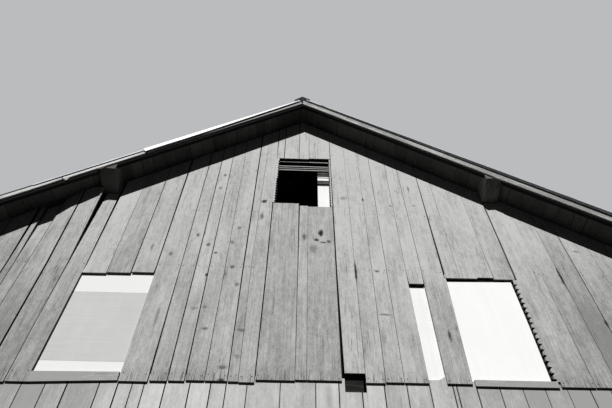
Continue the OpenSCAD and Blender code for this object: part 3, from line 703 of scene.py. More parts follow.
def upright_board(piece, lefts, rights, foot, y_out, head=None, tone=None, sprung=(0, 0),
                  chip=None, step=None):
    """One upright board whose edges pass through three places each. Its head is cut to the
    roof's slope, or level at head. sprung is how far the head's two corners stand out, mm.
    Its foot is chipped off right of the place chip; below the height step it is wider."""
    low_x, high_x = min(lefts), max(rights)
    centre_x = (low_x + high_x) / 2
    top = head or max(roof_at(low_x), roof_at(high_x), ridge_z if low_x < 0 < high_x else 0)
    add_plank((low_x, y_out, foot), (high_x, y_out + board_t, top))
    middle = nail_row_z if foot < nail_row_z < top else (foot + top) / 2
    split_at("Z", middle)
    warp = chance.uniform(-1.5, 1.5) * mm
    for z, left, right, share in zip((foot, middle, top), lefts, rights, sprung_share):
        for side, aside, out in ((-1, left - low_x, sprung[0]), (1, right - high_x, sprung[1])):
            move_part(piece, lambda co: abs(co.z - z) < 3 * mm and (co.x - centre_x) * side > 0,
                      (aside, -out * mm * share, 0))
    move_part(piece, lambda co: abs(co.z - top) < 3 * mm, (0, warp, 0))
    if not head:
        for side in (-1, 1):
            if high_x * side > 0 or low_x * side > 0:
                cut_off((0, 0, ridge_z), (side * rise, 0, 1))
    if sprung[1] > meets_purlin:
        cut_off((0, 0, purlin_foot), (0, 0, 1))
    if chip:
        split_at("X", chip)
        split_at("X", chip + 5 * mm)
        move_part(piece, lambda co: co.x > chip + 2 * mm and co.z < foot + 5 * mm, (0, 0, chip_h))
    if step:
        split_at("Z", step)
        split_at("Z", step + step_slope)
        move_part(piece, lambda co: abs(co.z - step) < 3 * mm and co.x > centre_x, (step_w, 0, 0))
    mark_plank(piece, "Z", chance.random() if tone is None else tone)


# %% Full-length upper boards
feet = {"l9": 4652, "l8": 4648, "l7": 4655, "l6": 4646, "l5": 4650, "l4": 4653, "l3": 4646,
        "l2": 4652, "l1": 4650, "l0": 4658, "a0": 4690, "a1": 4702, "a2": 4708, "a3": 4718,
        "a4": 4718, "a5": 4714, "a6": 4707, "b0": 4734, "b1": 4746, "b2": 4745,
        "slit_right": 4747, "c0": 4735}
other_feet = 4738
# how light each board is, from 0 to 1; those not named get a chance tone
# c2's darkest tone is partly painted shade of a branch
tones = {"l4": 0.2, "l3": 0.35, "l2": 0.35, "l1": 0.35, "l0": 0.55, "a0": 0.5, "a1": 0.35,
         "a2": 0.6, "a3": 0.28, "a4": 0.4, "a5": 0.35, "a6": 0.35, "b0": 0.6, "b1": 0.65,
         "b2": 0.8, "slit_left": 1.0, "slit_right": 0.7, "window_right": 0.7, "v1": 0.75,
         "v2": 0.6, "c0": 1.0, "c1": 0.6, "c2": 0.0, "c3": 0.4}
# below this height the board beside the slit keeps its full width
slit_step_z = 6.37
names = list(full_seams)
skipped = {"window_left", "hay_left", "hay_right", "slit_left", "window_right"}
upper = open_piece("front_upper_boards")
for left, right in zip(names, names[1:]):
    if left not in skipped:
        upright_board(upper, *board_edges(left, right), feet.get(left, other_feet) * mm, -wall_out,
                      tone=tones.get(left), sprung=sprung_boards.get(left, (0, 0)),
                      step=slit_step_z if left == "slit_right" else None)
close_piece(upper, front_wood, ["front_gable_boards"])

# %% Short boards over the openings
window_head, right_head, slit_head = [
    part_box(name)[1].z for name in ("left_window_panel", "right_window_panel", "slit_panel")]
hay_head, hole_head, chip_x = 9.235, 4.85, 2.455
# how far over its opening's head each board ends, mm. The left window has sunk at its left
# end, and the boards over it with it
shorts = [("window_left", "w1", window_head, -2), ("w1", "w2", window_head, 13),
          ("w2", "a0", window_head, 29), ("hay_left", "h1", hay_head, 0), ("h1", "h2", hay_head, -3),
          ("h2", "h3", hay_head, -4), ("h3", "hay_right", hay_head, 15),
          ("hay_right", "b0", hole_head, 0), ("slit_left", "slit_right", slit_head, 12),
          ("window_right", "v1", right_head, 0), ("v1", "v2", right_head, 2),
          ("v2", "c0", right_head, -2)]
short = open_piece("front_short_boards")
for left, right, foot, over in shorts:
    upright_board(short, *board_edges(left, right), foot + over * mm, -wall_out,
                  tone=tones.get(left), chip=chip_x if left == "v1" else None)
close_piece(short, front_wood, ["front_gable_short_boards"])

# %% [markdown]
# ## The loose boards in the hay opening
# Three boards close the lower part of the opening, darker than the rest. Narrow strips
# stand at its sides, their inner edges notched in small teeth. A boolean would need a
# cutter for each tooth; instead the strip is cut across at every half tooth, and every
# second cut is pushed back, which keeps it one closed shape.

# %% Loose boards and strips
# left and right edges at three heights, foot and head in mm, and tone
loose = [((-453, -439, -441), (-13, -17, -28), 4742, 7925, 0.0),
         ((-10, -10, -11), (118, 119, 120), 4752, 7870, 0.3),
         ((121, 121, 122), (514, 512, 510), 4752, 7850, 0.1)]
hay = open_piece("hay_boards")
for lefts, rights, foot, head, tone in loose:
    upright_board(hay, [x * mm for x in lefts], [x * mm for x in rights], foot * mm, -wall_out,
                  head * mm, tone)
tooth, tooth_rise, strip_head = 20 * mm, 34 * mm, hay_head - 2 * mm
# left and right edge in mm, foot in metres, and the side on which the opening lies
for x0, x1, strip_foot, inner in ((-458, -414, 7.945, 1), (482, 512, 7.862, -1)):
    add_plank((x0 * mm, -wall_out, strip_foot), (x1 * mm, -wall_mid, strip_head), 1 * mm)
    for row in range(1, int((strip_head - strip_foot) / tooth_rise)):
        split_at("Z", strip_foot + row * tooth_rise)
    edge = x1 * mm if inner > 0 else x0 * mm

    def between_teeth(co):
        row = (co.z - strip_foot) / tooth_rise
        return abs(co.x - edge) < 3 * mm and round(row) % 2 == 1 and abs(row - round(row)) < 0.02

    move_part(hay, between_teeth, (-inner * tooth, 0, 0))
    if inner > 0:
        move_part(hay, lambda co: co.z > 8.6 and co.x > -0.45, (12 * mm, 0, 0))
    mark_plank(hay, "Z", 0.95)
close_piece(hay, front_wood, ["hay_door_boards"])

# %% [markdown]
# ## Lower boards, back and sides
# The lower storey's boards run from just over the ground to behind the foot of the upper
# ones. The sides and the back repeat the front's two storeys with plain boards. Seams are
# written down where the photo shows them. Everywhere else one function gives a run of
# boards the chance widths of sawn ones, because no two real boards are the same.

# %% Runs of plain upright boards
def run_of_boards(start, end, step):
    """Pairs of neighbouring seams with the chance widths of sawn boards, in metres."""
    count = max(1, round((end - start) / step))
    inner = [start + (end - start) * i / count + chance.uniform(-18, 18) * mm for i in range(1, count)]
    seams = [start] + inner + [end]
    return list(zip(seams, seams[1:]))


def uneven(z):
    return z + chance.uniform(-8, 8) * mm


def lower_board(piece, x0, x1, foot, y_out):
    tone = chance.random()
    gap = chance.choice((6, 9, 11, 13)) * mm / 2
    add_plank((x0 + gap, y_out, foot), (x1 - gap, y_out + board_t, lower_top))
    move_part(piece, lambda co: co.z > lower_top - 4 * mm, (chance.uniform(-2, 2) * mm, 0, 0))
    mark_plank(piece, "Z", tone)


# %% Seams of the lower boards
door_low, door_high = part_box("front_wall_over_door")
door_half, door_top = door_high.x, door_low.z
seen_seams = [-2.51, -2.16, -1.96, -1.67, -1.44, -1.17, -0.94, -0.77, -0.54, -0.17, 0.22, 0.48,
              0.735, 0.987, 1.24, 1.496, 1.756, 2.02, 2.28, 2.54, 2.79, 3.04]
left_run = run_of_boards(-side_mid, seen_seams[0], 0.25)
boards = left_run + list(zip(seen_seams, seen_seams[1:])) + run_of_boards(seen_seams[-1], side_mid, 0.25)
print("lower boards of the front:", len(boards))

# %% Boards beside the doorway
beside = open_piece("front_lower_boards")
for x0, x1 in boards:
    if x1 <= -door_half or x0 >= door_half:
        lower_board(beside, x0, x1, uneven(foot_z), -wall_mid)
    else:
        for a, b in ((x0, -door_half), (door_half, x1)):
            if a < b:
                lower_board(beside, a, b, foot_z, -wall_mid)
close_piece(beside, lower_wood, ["front_wall_boards"])

# %% Boards over the doorway
# a hole is broken through the heads of two boards, those under the left window end lower,
# and the one under the slit was cut in a curve that rises to the right
hole_left, hole_right, hole_foot = 0.548, 0.788, 4.625
left_sill, under_slit, sunk = (-3.1, -1.9), 1.6, 20 * mm
curve = ((1.50, 6), (1.55, 4), (1.625, 10), (1.66, 32), (1.70, 55), (1.75, 60))
over_door = open_piece("front_door_head_boards")
for x0, x1 in boards:
    a, b = max(x0, -door_half), min(x1, door_half)
    if b - a < 5 * mm:
        continue
    tone = chance.random()
    parts = [(a, b, lower_top)]
    if a < hole_right and b > hole_left:
        broken = hole_foot + chance.uniform(-6, 12) * mm
        parts = [(a, hole_left, lower_top), (max(a, hole_left), min(b, hole_right), broken),
                 (hole_right, b, lower_top)]
    gap = chance.choice((6, 9, 11, 13)) * mm / 2
    if left_sill[0] < a and b < left_sill[1]:
        parts = [(a, b, lower_top - sunk)]
    for p0, p1, head in parts:
        if p0 >= p1:
            continue
        add_plank((p0 + (gap if p0 == a else 0), -wall_mid, door_top),
                  (p1 - (gap if p1 == b else 0), -wall_in, head), 1 * mm)
        if a < under_slit < b:
            for place, up in curve[1:-1]:
                split_at("X", place)
            for place, up in curve:
                move_part(over_door, lambda co: abs(co.x - place) < 10 * mm and co.z > lower_top - 2 * mm,
                          (0, 0, up * mm))
        mark_plank(over_door, "Z", tone)
close_piece(over_door, lower_wood, ["front_wall_over_door"])

# %% Board behind the hole
# a nailing board crosses behind the hole and fills most of it, painted nearly black as the shade inside
nailer_left, nailer_right, nailer_foot, nailer_head = 0.50, 0.762, 4.60, 4.797
behind_hole = open_piece("hole_backing_board")
add_plank((nailer_left, -wall_in + 2 * mm, nailer_foot), (nailer_right, -wall_in + 24 * mm, nailer_head))
mark_plank(behind_hole, "X", 0.5)
close_piece(behind_hole, shaded_hole_wood)

# %% Back boards
back_low = open_piece("back_lower_boards")
for x0, x1 in run_of_boards(-side_mid, side_mid, 0.25):
    lower_board(back_low, x0, x1, uneven(foot_z), wall_in)
close_piece(back_low, side_lower_wood, ["back_wall_boards"])

back_windows = [-side_out, -2.965, -1.965, 1.965, 2.965, side_out]
back_up = open_piece("back_upper_boards")
for i, (start, end) in enumerate(zip(back_windows, back_windows[1:])):
    for x0, x1 in run_of_boards(start, end, 0.27):
        gap = chance.choice((4, 5, 7, 10)) * mm / 2
        upright_board(back_up, [x0 + gap] * 3, [x1 - gap] * 3,
                      window_head if i % 2 else uneven(lap_z), wall_mid)
close_piece(back_up, side_wood, ["back_gable_boards", "back_gable_short_boards"])

# %% Side boards
furring_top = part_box("left_wall_upper")[1].z
for name, side in sides:
    storeys = (("lower", wall_in, side_in, side_mid, foot_z, lower_top, side_lower_wood),
               ("upper", wall_mid, side_mid, side_out, lap_z, furring_top - 22 * mm, side_wood))
    for storey, half_length, inside, outside, foot, head, wood in storeys:
        wall = open_piece(f"{name}_{storey}_boards")
        xs = sorted((side * inside, side * outside))
        for y0, y1 in run_of_boards(-half_length, half_length, 0.26):
            gap = chance.choice((4, 6, 8, 10)) * mm / 2
            add_plank((xs[0], y0 + gap, uneven(foot)), (xs[1], y1 - gap, head))
            mark_plank(wall, "Z", chance.random())
        close_piece(wall, wood, [f"{name}_wall_{storey}"])

# %% [markdown]
# ## Pieces on the slopes
# A roof piece is easier to model flat: X runs down the slope, Y along the ridge, and Z
# stands off the rafters. The finished piece is then turned onto its slope as a whole.
# Modelled in place, every cut and fold would need the slope worked into its numbers. The
# left slope is mirrored, which turns a shape inside out, so normals are made right again.

# %% Helper for flat pieces
gauge = 1 * mm


def lay_on_slope(piece, side):
    bpy.ops.object.mode_set(mode="OBJECT")
    piece.location = (0, 0, ridge_z)
    piece.rotation_euler = (0, slope_angle, 0)
    bpy.ops.object.transform_apply(location=True, rotation=True, scale=True)
    bpy.ops.object.mode_set(mode="EDIT")
    bpy.ops.mesh.select_all(action="SELECT")
    if side < 0:
        bpy.ops.transform.resize(value=(-1, 1, 1), center_override=(0, 0, 0))
    bpy.ops.mesh.normals_make_consistent(inside=False)
    bpy.ops.mesh.select_all(action="DESELECT")


# %% Helpers for modifiers and rows
def apply_modifier(piece, kind, **settings):
    modifier = piece.modifiers.new(kind.lower(), kind)
    for name, value in settings.items():
        setattr(modifier, name, value)
    bpy.context.view_layer.objects.active = piece
    bpy.ops.object.modifier_apply(modifier=modifier.name)


def smooth(piece, degrees=40):
    bpy.ops.object.select_all(action="DESELECT")
    piece.select_set(True)
    bpy.context.view_layer.objects.active = piece
    bpy.ops.object.shade_smooth_by_angle(angle=math.radians(degrees))


def give_gauge(piece):
    apply_modifier(piece, "SOLIDIFY", thickness=gauge, offset=0)


def rows_of_boards(start, end, narrow, wide, gaps_mm):
    """Gives the edges of one board after another, with a chance width and gap for each."""
    edge = start
    while edge < end - 1 * mm:
        width = chance.uniform(narrow, wide)
        if end - edge - width < 0.1:
            width = end - edge
        yield edge, edge + width - chance.choice(gaps_mm) * mm
        edge += width


# %% [markdown]
# ## Roof boards
# Boards run along the ridge over the rafters, edge to edge, and are seen from below under
# the overhang. They are dark with age, and their colour is darkened further as painted shade.
# One sheet would do from above, but from below the seams show, so each is a plank of its own.

# %% Boards on both slopes
for name, side in sides:
    deck = open_piece(f"{name}_roof_planks")
    for x0, x1 in rows_of_boards(0.0, reach, 0.17, 0.27, (2, 3, 5, 8)):
        add_plank((x0, deck_y, 0), (x1, -deck_y, deck_t), 1.5 * mm)
        mark_plank(deck, "Y", chance.random())
    lay_on_slope(deck, side)
    close_piece(deck, roof_wood, [f"{name}_roof_boards"])

# %% [markdown]
# ## Old shingles
# The sheets were laid over the old wooden shingles, which lie in two layers on the right.
# Their butts show at the eaves only, as a stepped edge, so the lowest course is a row of
# single shingles and the others are one strip each.

# %% Shingle courses
shingle_t = {"left": 20 * mm, "right": 42 * mm}
shingle_layers = {"left": 1, "right": 2}
courses, shingles_in_row = 26, 60
for name, side in sides:
    shingles = open_piece(f"{name}_shingle_courses")
    layer_t = shingle_t[name] / shingle_layers[name]
    for course in range(courses * shingle_layers[name]):
        layer, row = divmod(course, courses)
        z0 = deck_t + layer * layer_t
        pieces = 1 if row < courses - 1 else shingles_in_row
        for i in range(pieces):
            y0 = deck_y + 1 * mm - 2 * deck_y * i / pieces
            y1 = y0 - 2 * deck_y / pieces - 4 * mm
            foot_cut = chance.uniform(1, 9) * mm + (z0 + layer_t - deck_t) * sin_slope
            add_plank((reach * row / courses, y0, z0),
                      (reach * (row + 1) / courses - foot_cut, y1, z0 + layer_t), 1 * mm)
            mark_plank(shingles, "X", chance.random())
    lay_on_slope(shingles, side)
    close_piece(shingles, shingle_wood)

# %% [markdown]
# ## Corrugated sheets
# Three courses of sheets lap down each slope, their waves 76 mm apart and running down
# it. A bump on a flat sheet would leave its edge straight, and the edge is what is seen.
# So a flat grid is waved by lifting its rows one after another, its outer rows are
# folded down over the ends of the roof boards, and Solidify gives the sheet its gauge.

# %% Waved grid
wave_steps = 8


def wave_grid(piece, x0, x1, y0, y1, z, waves, depth, fold=0.0, insets=(0.0, 0.0)):
    """A sheet from x0 to x1 whose waves follow one another along Y, added in edit mode.
    fold turns its outer edges down; insets draw its two ends back from y0."""
    add_grid(x0, x1, y0, y1, z, 1, waves * wave_steps)
    step = (y1 - y0) / (waves * wave_steps)
    for level in range(wave_steps):
        move_part(piece, lambda co: round((co.y - y0) / step) % wave_steps == level,
                  (0, 0, depth / 2 * math.cos(math.tau * level / wave_steps)))
    for end in (y0, y1) if fold else ():
        extrude_part(piece, lambda co: abs(co.y - end) < 1 * mm, (0, 0, -fold))
    for x, inset in zip((x0, x1), insets):
        pick(piece, lambda co: abs(co.x - x) < 1 * mm)
        bpy.ops.transform.resize(value=(1, (y1 - y0 - inset) / (y1 - y0), 1), center_override=(x, y1, z))
        bpy.ops.mesh.select_linked()
    bpy.ops.mesh.select_all(action="DESELECT")


sheet_low, sheet_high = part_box("left_roof_sheets")
wave_pitch, wave_depth, lap = 76 * mm, 16 * mm, 0.15
sheet_foot = {name: deck_t + thickness for name, thickness in shingle_t.items()}
# how far the upper and lower end of each course stay back from the CAD's edge, and how
# far its edge is turned down, in mm
verge = {"left": ((14, 14, 9), (10, 14, 26), (14, 18, 8)),
         "right": ((37, 22, 16), (22, 12, 16), (12, 0, 16))}
for name, side in sides:
    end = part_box(f"{name}_roof_sheets")[1].y
    sheet_reach = (-sheet_low.x - (sheet_foot[name] + wave_depth) * sin_slope) / cos_slope
    sheets = open_piece(f"{name}_wavy_sheets")
    for course, (upper_inset, lower_inset, fold) in enumerate(verge[name]):
        x0 = max(course * sheet_reach / 3 - lap, 0.02) + course * 0.1 * mm
        lift = (2 - course) * 1.2 * mm
        wave_grid(sheets, x0, (course + 1) * sheet_reach / 3, -end + gauge, end - gauge,
                  sheet_foot[name] + wave_depth / 2 + gauge / 2 + lift, round(2 * end / wave_pitch),
                  wave_depth, fold * mm, (upper_inset * mm, lower_inset * mm))
    lay_on_slope(sheets, side)
    close_piece(sheets, zinc, [f"{name}_roof_sheets"])
    give_gauge(sheets)
    smooth(sheets)

# %% [markdown]
# ## Ridge cap
# The cap is folded from flat sheet, in lengths that lap. Its fold is rounded and its edges
# are turned down so that wind can't drive rain under it. It is made as it is folded: a
# level grid of two columns has its sides pulled down, its middle line bevelled and its
# edges extruded. A swept section would give the same shape with more to set up.

# %% Folded cap
cap_low, cap_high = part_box("ridge_cap")
lengths, cap_lap, inside_edge, fold_round, turned_down = 7, 0.04, 2 * mm, 14 * mm, 7 * mm
cap_step = (cap_high.y - cap_low.y) / lengths
half = cap_high.x - inside_edge
left_lower = (sheet_foot["right"] - sheet_foot["left"]) / cos_slope
cap = open_piece("folded_ridge_cap")
for i in range(lengths):
    y0 = cap_low.y + i * cap_step - (cap_lap if i else 0)
    y1 = cap_low.y + (i + 1) * cap_step
    add_grid(-half, half, y0, y1, cap_high.z - inside_edge - i % 2 * 1.2 * mm, 2, 1)
    move_part(cap, lambda co: abs(co.x) > 0.1, (0, 0, -cap_high.x * rise))
    move_part(cap, lambda co: co.x < -0.1, (0, 0, -left_lower))
    pick(cap, lambda co: abs(co.x) < 1 * mm)
    bpy.ops.mesh.bevel(offset=fold_round, segments=3, affect="EDGES")
    bpy.ops.mesh.select_linked()
    for side in (-1, 1):
        extrude_part(cap, lambda co: co.x * side > 0.1, (side * 1 * mm, 0, -turned_down))
    if i == 0:
        # the front end has been bent up by the wind
        move_part(cap, lambda co: co.y < y0 + 1 * mm, (-20 * mm, -18 * mm, 42 * mm))
bpy.ops.mesh.select_all(action="DESELECT")
close_piece(cap, zinc, ["ridge_cap"])
give_gauge(cap)
smooth(cap)

# %% [markdown]
# ## Barge boards
# Narrow boards close the ends of the roof boards. The left one is in three lengths that
# have moved apart: the lowest has lifted at its upper end, and a splinter still hangs at
# that joint. The right one is deeper and in one piece. Each length is a plank that is
# split every half metre, so that its lower edge can bow. Its ends are cut plumb with a
# plane, which is surer than moving their corners.

# %% Helper for barge boards
barge_out = -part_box("front_left_barge")[0].y
left_drop, right_drop = 34 * mm * cos_slope, 66 * mm * cos_slope
joint_high, joint_low = 2.60 / cos_slope, 3.66 / cos_slope
over_eave, stop_step = reach + 0.05, 0.45
plumb = Vector((cos_slope, 0, sin_slope))


def barge_board(piece, name, x0, x1, drop, y0=-barge_out, lift=0.0):
    """A barge board along the slope, its lower edge a little uneven and its ends cut plumb at
    the ridge and the eave. lift raises its upper end."""
    add_plank((x0, y0, -drop), (x1, y0 + barge_t, sheet_foot[name] - 1 * mm), 2 * mm)
    stops = int((x1 - x0) / stop_step)
    for i in range(1, stops):
        split_at("X", x0 + (x1 - x0) * i / stops)
    for i in range(stops + 1):
        x = x0 + (x1 - x0) * i / stops
        bow = chance.uniform(-2.5, 2.5) * mm
        move_part(piece, lambda co: abs(co.x - x) < 4 * mm and co.z < 0, (0, 0, bow))
    if lift:
        move_part(piece, lambda co: co.x < x0 + 0.3, (0, 0, lift))
    if x0 < 0.1:
        cut_off((0, 0, 0), -plumb)
    if x1 > reach:
        cut_off((reach, 0, 0), plumb)
    mark_plank(piece, "X", 0.85 if name == "left" else 0.1)


# %% Left barge board
left_barge = open_piece("left_front_barge")
barge_board(left_barge, "left", 0.03, joint_high - 2 * mm, left_drop)
barge_board(left_barge, "left", joint_high + 2 * mm, joint_low - 9 * mm, left_drop)
barge_board(left_barge, "left", joint_low + 3 * mm, over_eave, left_drop, lift=9 * mm)
# the splinter that hangs at the lower joint
add_plank((joint_low - 0.075, -barge_out + 4 * mm, -left_drop - 40 * mm),
          (joint_low - 0.02, -barge_out + 14 * mm, -left_drop - 16 * mm))
move_part(left_barge, lambda co: co.x < joint_low - 0.06, (0, 0, 12 * mm))
mark_plank(left_barge, "X", 0.9)
lay_on_slope(left_barge, -1)
close_piece(left_barge, barge_wood, ["front_left_barge"])

# %% Right and back barge boards
for piece_name, name, side, y0, nodes in (
        ("right_front_barge", "right", 1, -barge_out, ["front_right_barge"]),
        ("left_back_barge", "left", -1, barge_out - barge_t, ["back_barges"]),
        ("right_back_barge", "right", 1, barge_out - barge_t, ())):
    board = open_piece(piece_name)
    barge_board(board, name, -0.03, over_eave, right_drop, y0)
    lay_on_slope(board, side)
    close_piece(board, barge_wood, nodes)

# %% [markdown]
# ## The bright strip at the left verge
# Over the upper part of the left barge board lies a strip of newer metal, folded down over
# the sheet's edge. It is the brightest line of the photo, and narrows towards the ridge.
# It starts as a grid and not as a cube, because a row of columns lets the folded leg
# change its depth along the strip.

# %% Verge strip
strip_y, strip_top = -sheet_high.y, sheet_foot["left"] + wave_depth + 5 * mm
strip_start, strip_w, strip_leg, columns = 0.05, 0.1, 80 * mm, 8
# the leg is narrowest at the ridge, by this much, and has its full width from here on
narrowed_mm, full_from = 62, 2.4
strip = open_piece("left_verge_strip")
add_grid(strip_start, joint_high, strip_y, strip_y + strip_w, strip_top, columns, 1)
extrude_part(strip, lambda co: co.y < strip_y + 1 * mm, (0, 0, -strip_leg))
for i in range(columns):
    x = strip_start + (joint_high - strip_start) * i / columns
    move_part(strip, lambda co: co.z < strip_top - 20 * mm and abs(co.x - x) < 5 * mm,
              (0, 0, max(0, narrowed_mm * (1 - x / full_from)) * mm))
bpy.ops.mesh.select_all(action="DESELECT")
lay_on_slope(strip, -1)
close_piece(strip, bright_zinc)
give_gauge(strip)

# %% [markdown]
# ## Hewn purlins
# The purlins are trees squared with an axe: their lower corners keep the round of the
# tree, their faces wander, and their front ends were chopped to a taper from below. A cube
# gets rounds by bevelling, is cut into short lengths, and is roughened by small chance
# steps. Sculpting by hand could look as true, but wouldn't come out the same each time.

# %% Purlins
# the left purlin's paler finish and higher tone are painted light
purlin_looks = {"left": (1.0, pale_timber), "right": (0.3, timber_wood)}
# the end is chopped upwards from below: how far in each cut reaches, and by how many mm
chops = ((0.23, 18), (0.12, 42), (0.04, 36))
tree_round = 38 * mm
for name, side in sides:
    node_low, node_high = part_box(f"{name}_purlin")
    middle = (node_low + node_high) / 2
    beam = open_piece(f"{name}_hewn_purlin")
    bpy.ops.mesh.primitive_cube_add(size=1, location=middle, scale=node_high - node_low)
    pick(beam, lambda co: co.z < middle.z)
    shape = bmesh.from_edit_mesh(beam.data)
    for edge in shape.edges:
        one, other = [v.co for v in edge.verts]
        edge.select = abs(one.y - other.y) > 1 and one.z < middle.z
    for face in shape.faces:
        face.select = False
    bpy.ops.mesh.bevel(offset=tree_round, segments=3, affect="EDGES")
    bpy.ops.mesh.select_all(action="SELECT")
    for along in [0.09, 0.2] + [0.35 * i for i in range(1, 42)]:
        split_at("Y", node_low.y + along)
    bpy.ops.transform.vertex_random(offset=5 * mm, uniform=0.2, normal=0, seed=3 + side)
    for along, up in chops:
        move_part(beam, lambda co: co.y < node_low.y + along and co.z < middle.z - 0.02, (0, 0, up * mm))
    # the last cut took off more at the outer side
    move_part(beam, lambda co: co.y < node_low.y + 0.04 and co.z < middle.z
              and co.x * side > middle.x * side, (0, 0, 28 * mm))
    cut_off((0, 0, ridge_z), (side * rise, 0, 1))
    cut_off(node_low, (0, -1, 0))
    cut_off(node_high, (0, 1, 0))
    tone, wood = purlin_looks[name]
    mark_plank(beam, "Y", tone)
    close_piece(beam, wood, [f"{name}_purlin"])
    smooth(beam, 35)

# %% [markdown]
# ## Timbers of the frame
# The CAD's timbers have the right shapes, and their joints fit, so they aren't modelled
# anew. Each node is copied, its doubled corners are merged, its edges are eased with a
# bevel, and each timber gets its grain along its longest side.

# %% Helper that gives timbers their grain
def grain_of_parts(piece, lean):
    """Gives each loose timber of the piece its grain and tone. lean is the angle at which
    its timbers slope."""
    shape = bmesh.new()
    shape.from_mesh(piece.data)
    grain, tones = grain_layers(shape)
    turn = Matrix.Rotation(lean, 3, "Y")
    seen = set()
    for first in shape.verts:
        if first.index in seen:
            continue
        part, queue = [], [first]
        seen.add(first.index)
        while queue:
            v = queue.pop()
            part.append(v)
            for other in (edge.other_vert(v) for edge in v.link_edges):
                if other.index not in seen:
                    seen.add(other.index)
                    queue.append(other)
        turned = [turn @ v.co for v in part]
        spans = [max(p[i] for p in turned) - min(p[i] for p in turned) for i in range(3)]
        along = spans.index(max(spans))
        order = [i for i in range(3) if i != along] + [along]
        shift = grain_shift()
        tone = chance.random()
        for v, p in zip(part, turned):
            v[grain] = Vector([p[i] for i in order]) + shift
            v[tones] = tone
    shape.to_mesh(piece.data)
    shape.free()


# %% Helper that eases a node
def ease_node(node, ease_mm, lean=0.0, material=timber_wood):
    piece = bpy.data.objects.new(f"{node}_eased", frame["nodes"][node].data.copy())
    bpy.context.scene.collection.objects.link(piece)
    piece.data.materials.clear()
    edit(piece)
    bpy.ops.mesh.select_all(action="SELECT")
    bpy.ops.mesh.remove_doubles(threshold=0.05 * mm)
    bpy.ops.mesh.dissolve_limited(angle_limit=math.radians(1))
    bpy.ops.mesh.normals_make_consistent(inside=False)
    close_piece(piece, material, [node])
    apply_modifier(piece, "BEVEL", width=ease_mm * mm, segments=2, limit_method="ANGLE")
    grain_of_parts(piece, lean)
    smooth(piece, 50)
    return piece


# %% Ease the frame
for node in ("side_sills", "end_sills", "wall_posts", "wall_plates", "aisle_posts", "tie_beams",
             "loft_joists", "purlin_posts", "collar_beams"):
    ease_node(node, 8)
studs = ease_node("gable_studs", 4)
ease_node("wall_girts", 4)
ease_node("door_posts", 8)
ease_node("door_lintel", 8)
# the inner face of the post at the right of the hay opening is cut back a little, so that
# the white boards reach the notched strip as in the photo
cut_back = 28 * mm
edit(studs)
bpy.ops.mesh.select_all(action="SELECT")
pick(studs, lambda co: 0.45 < co.x < 0.495 and co.y < -6.8 and co.z > 7.4)
bpy.ops.transform.translate(value=(cut_back, 0, 0))
bpy.ops.object.mode_set(mode="OBJECT")
for name, side in sides:
    ease_node(f"{name}_rafters", 5, -side * slope_angle, rafter_wood)

# %% [markdown]
# ## Loft floor
# The floor boards lie across the joists and meet end to end over the middle ones. Each
# row is two planks, and the joist on which they meet changes by chance, because a
# carpenter staggers these joints.

# %% Floor boards
floor_low, floor_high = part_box("loft_floor")
loft = open_piece("loft_floor_boards")
for y0, y1 in rows_of_boards(floor_low.y, floor_high.y, 0.2, 0.28, (2, 3, 4)):
    meet = chance.choice((-1.6, 0.0, 1.6))
    for x0, x1 in ((floor_low.x, meet - 1 * mm), (meet + 1 * mm, floor_high.x)):
        add_plank((x0, y0, floor_low.z), (x1, y1, floor_high.z), 1.5 * mm)
        mark_plank(loft, "X", chance.random())
close_piece(loft, floor_wood, ["loft_floor"])

# %% [markdown]
# ## Window boards, sheets and sills
# The left window is closed with white boards set behind the wall boards, the slit with one
# more. In the right window a flat white sheet stands in front of a wavy one that is painted
# near black as shade, and at its right a strip of wood stands in the plane of the boards,
# notched like teeth. Planks make all the boards, and the function that waved the roof's
# sheets makes the wavy one, which is then turned upright: a helper that works is used again.

# %% Left window
def white_panel(piece, low, high, z_cuts):
    """White boards one over another, cut at the given heights."""
    for z0, z1 in zip(z_cuts, z_cuts[1:]):
        add_plank((low.x, low.y, z0), (high.x, high.y, z1 - 1.5 * mm), 0.8 * mm)
        move_part(piece, lambda co: co.z > (z0 + z1) / 2, (chance.uniform(-1, 1) * mm, 0, 0))
        mark_plank(piece, "X", chance.random())


# the left window's boards stand a little further out, and up behind the boards over it
low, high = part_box("left_window_panel")
panel = open_piece("left_window_boards")
white_panel(panel, low - Vector((0, 16 * mm, 0)), high, [4.775, band_low, band_high, high.z + 45 * mm])
close_piece(panel, window_white, ["left_window_panel"])

# %% Slit and back windows
low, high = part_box("slit_panel")
panel = open_piece("slit_board")
white_panel(panel, low, high, [low.z, high.z])
close_piece(panel, plain_white, ["slit_panel"])

low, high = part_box("back_window_panels")
back_panel_w = 1.03
panel = open_piece("back_window_boards")
for x0, x1 in ((low.x, low.x + back_panel_w), (high.x - back_panel_w, high.x)):
    white_panel(panel, Vector((x0, low.y, 0)), Vector((x1, high.y, 0)), [low.z, band_low, band_high, high.z])
close_piece(panel, window_white, ["back_window_panels"])

# %% Flat sheet of the right window
right_low, right_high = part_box("right_window_panel")
flat_t, narrower, half_way = 2.5 * mm, 60 * mm, 5.6
flat = open_piece("right_window_flat_sheet")
add_plank(right_low, (right_high.x - narrower, right_low.y + flat_t, right_high.z), 0.6 * mm)
split_at("Z", half_way)
# its foot is narrower, and its head hangs lower at both corners, most at the left
move_part(flat, lambda co: co.x > 2.9 and co.z < half_way - 0.1, (-14 * mm, 0, 0))
move_part(flat, lambda co: co.x < 2 and co.z > half_way + 0.1, (0, 0, -46 * mm))
move_part(flat, lambda co: co.x > 2.8 and co.z > half_way + 0.1, (0, 0, -22 * mm))
mark_plank(flat, "Z", 0.5)
close_piece(flat, sheet_white, ["right_window_panel"])

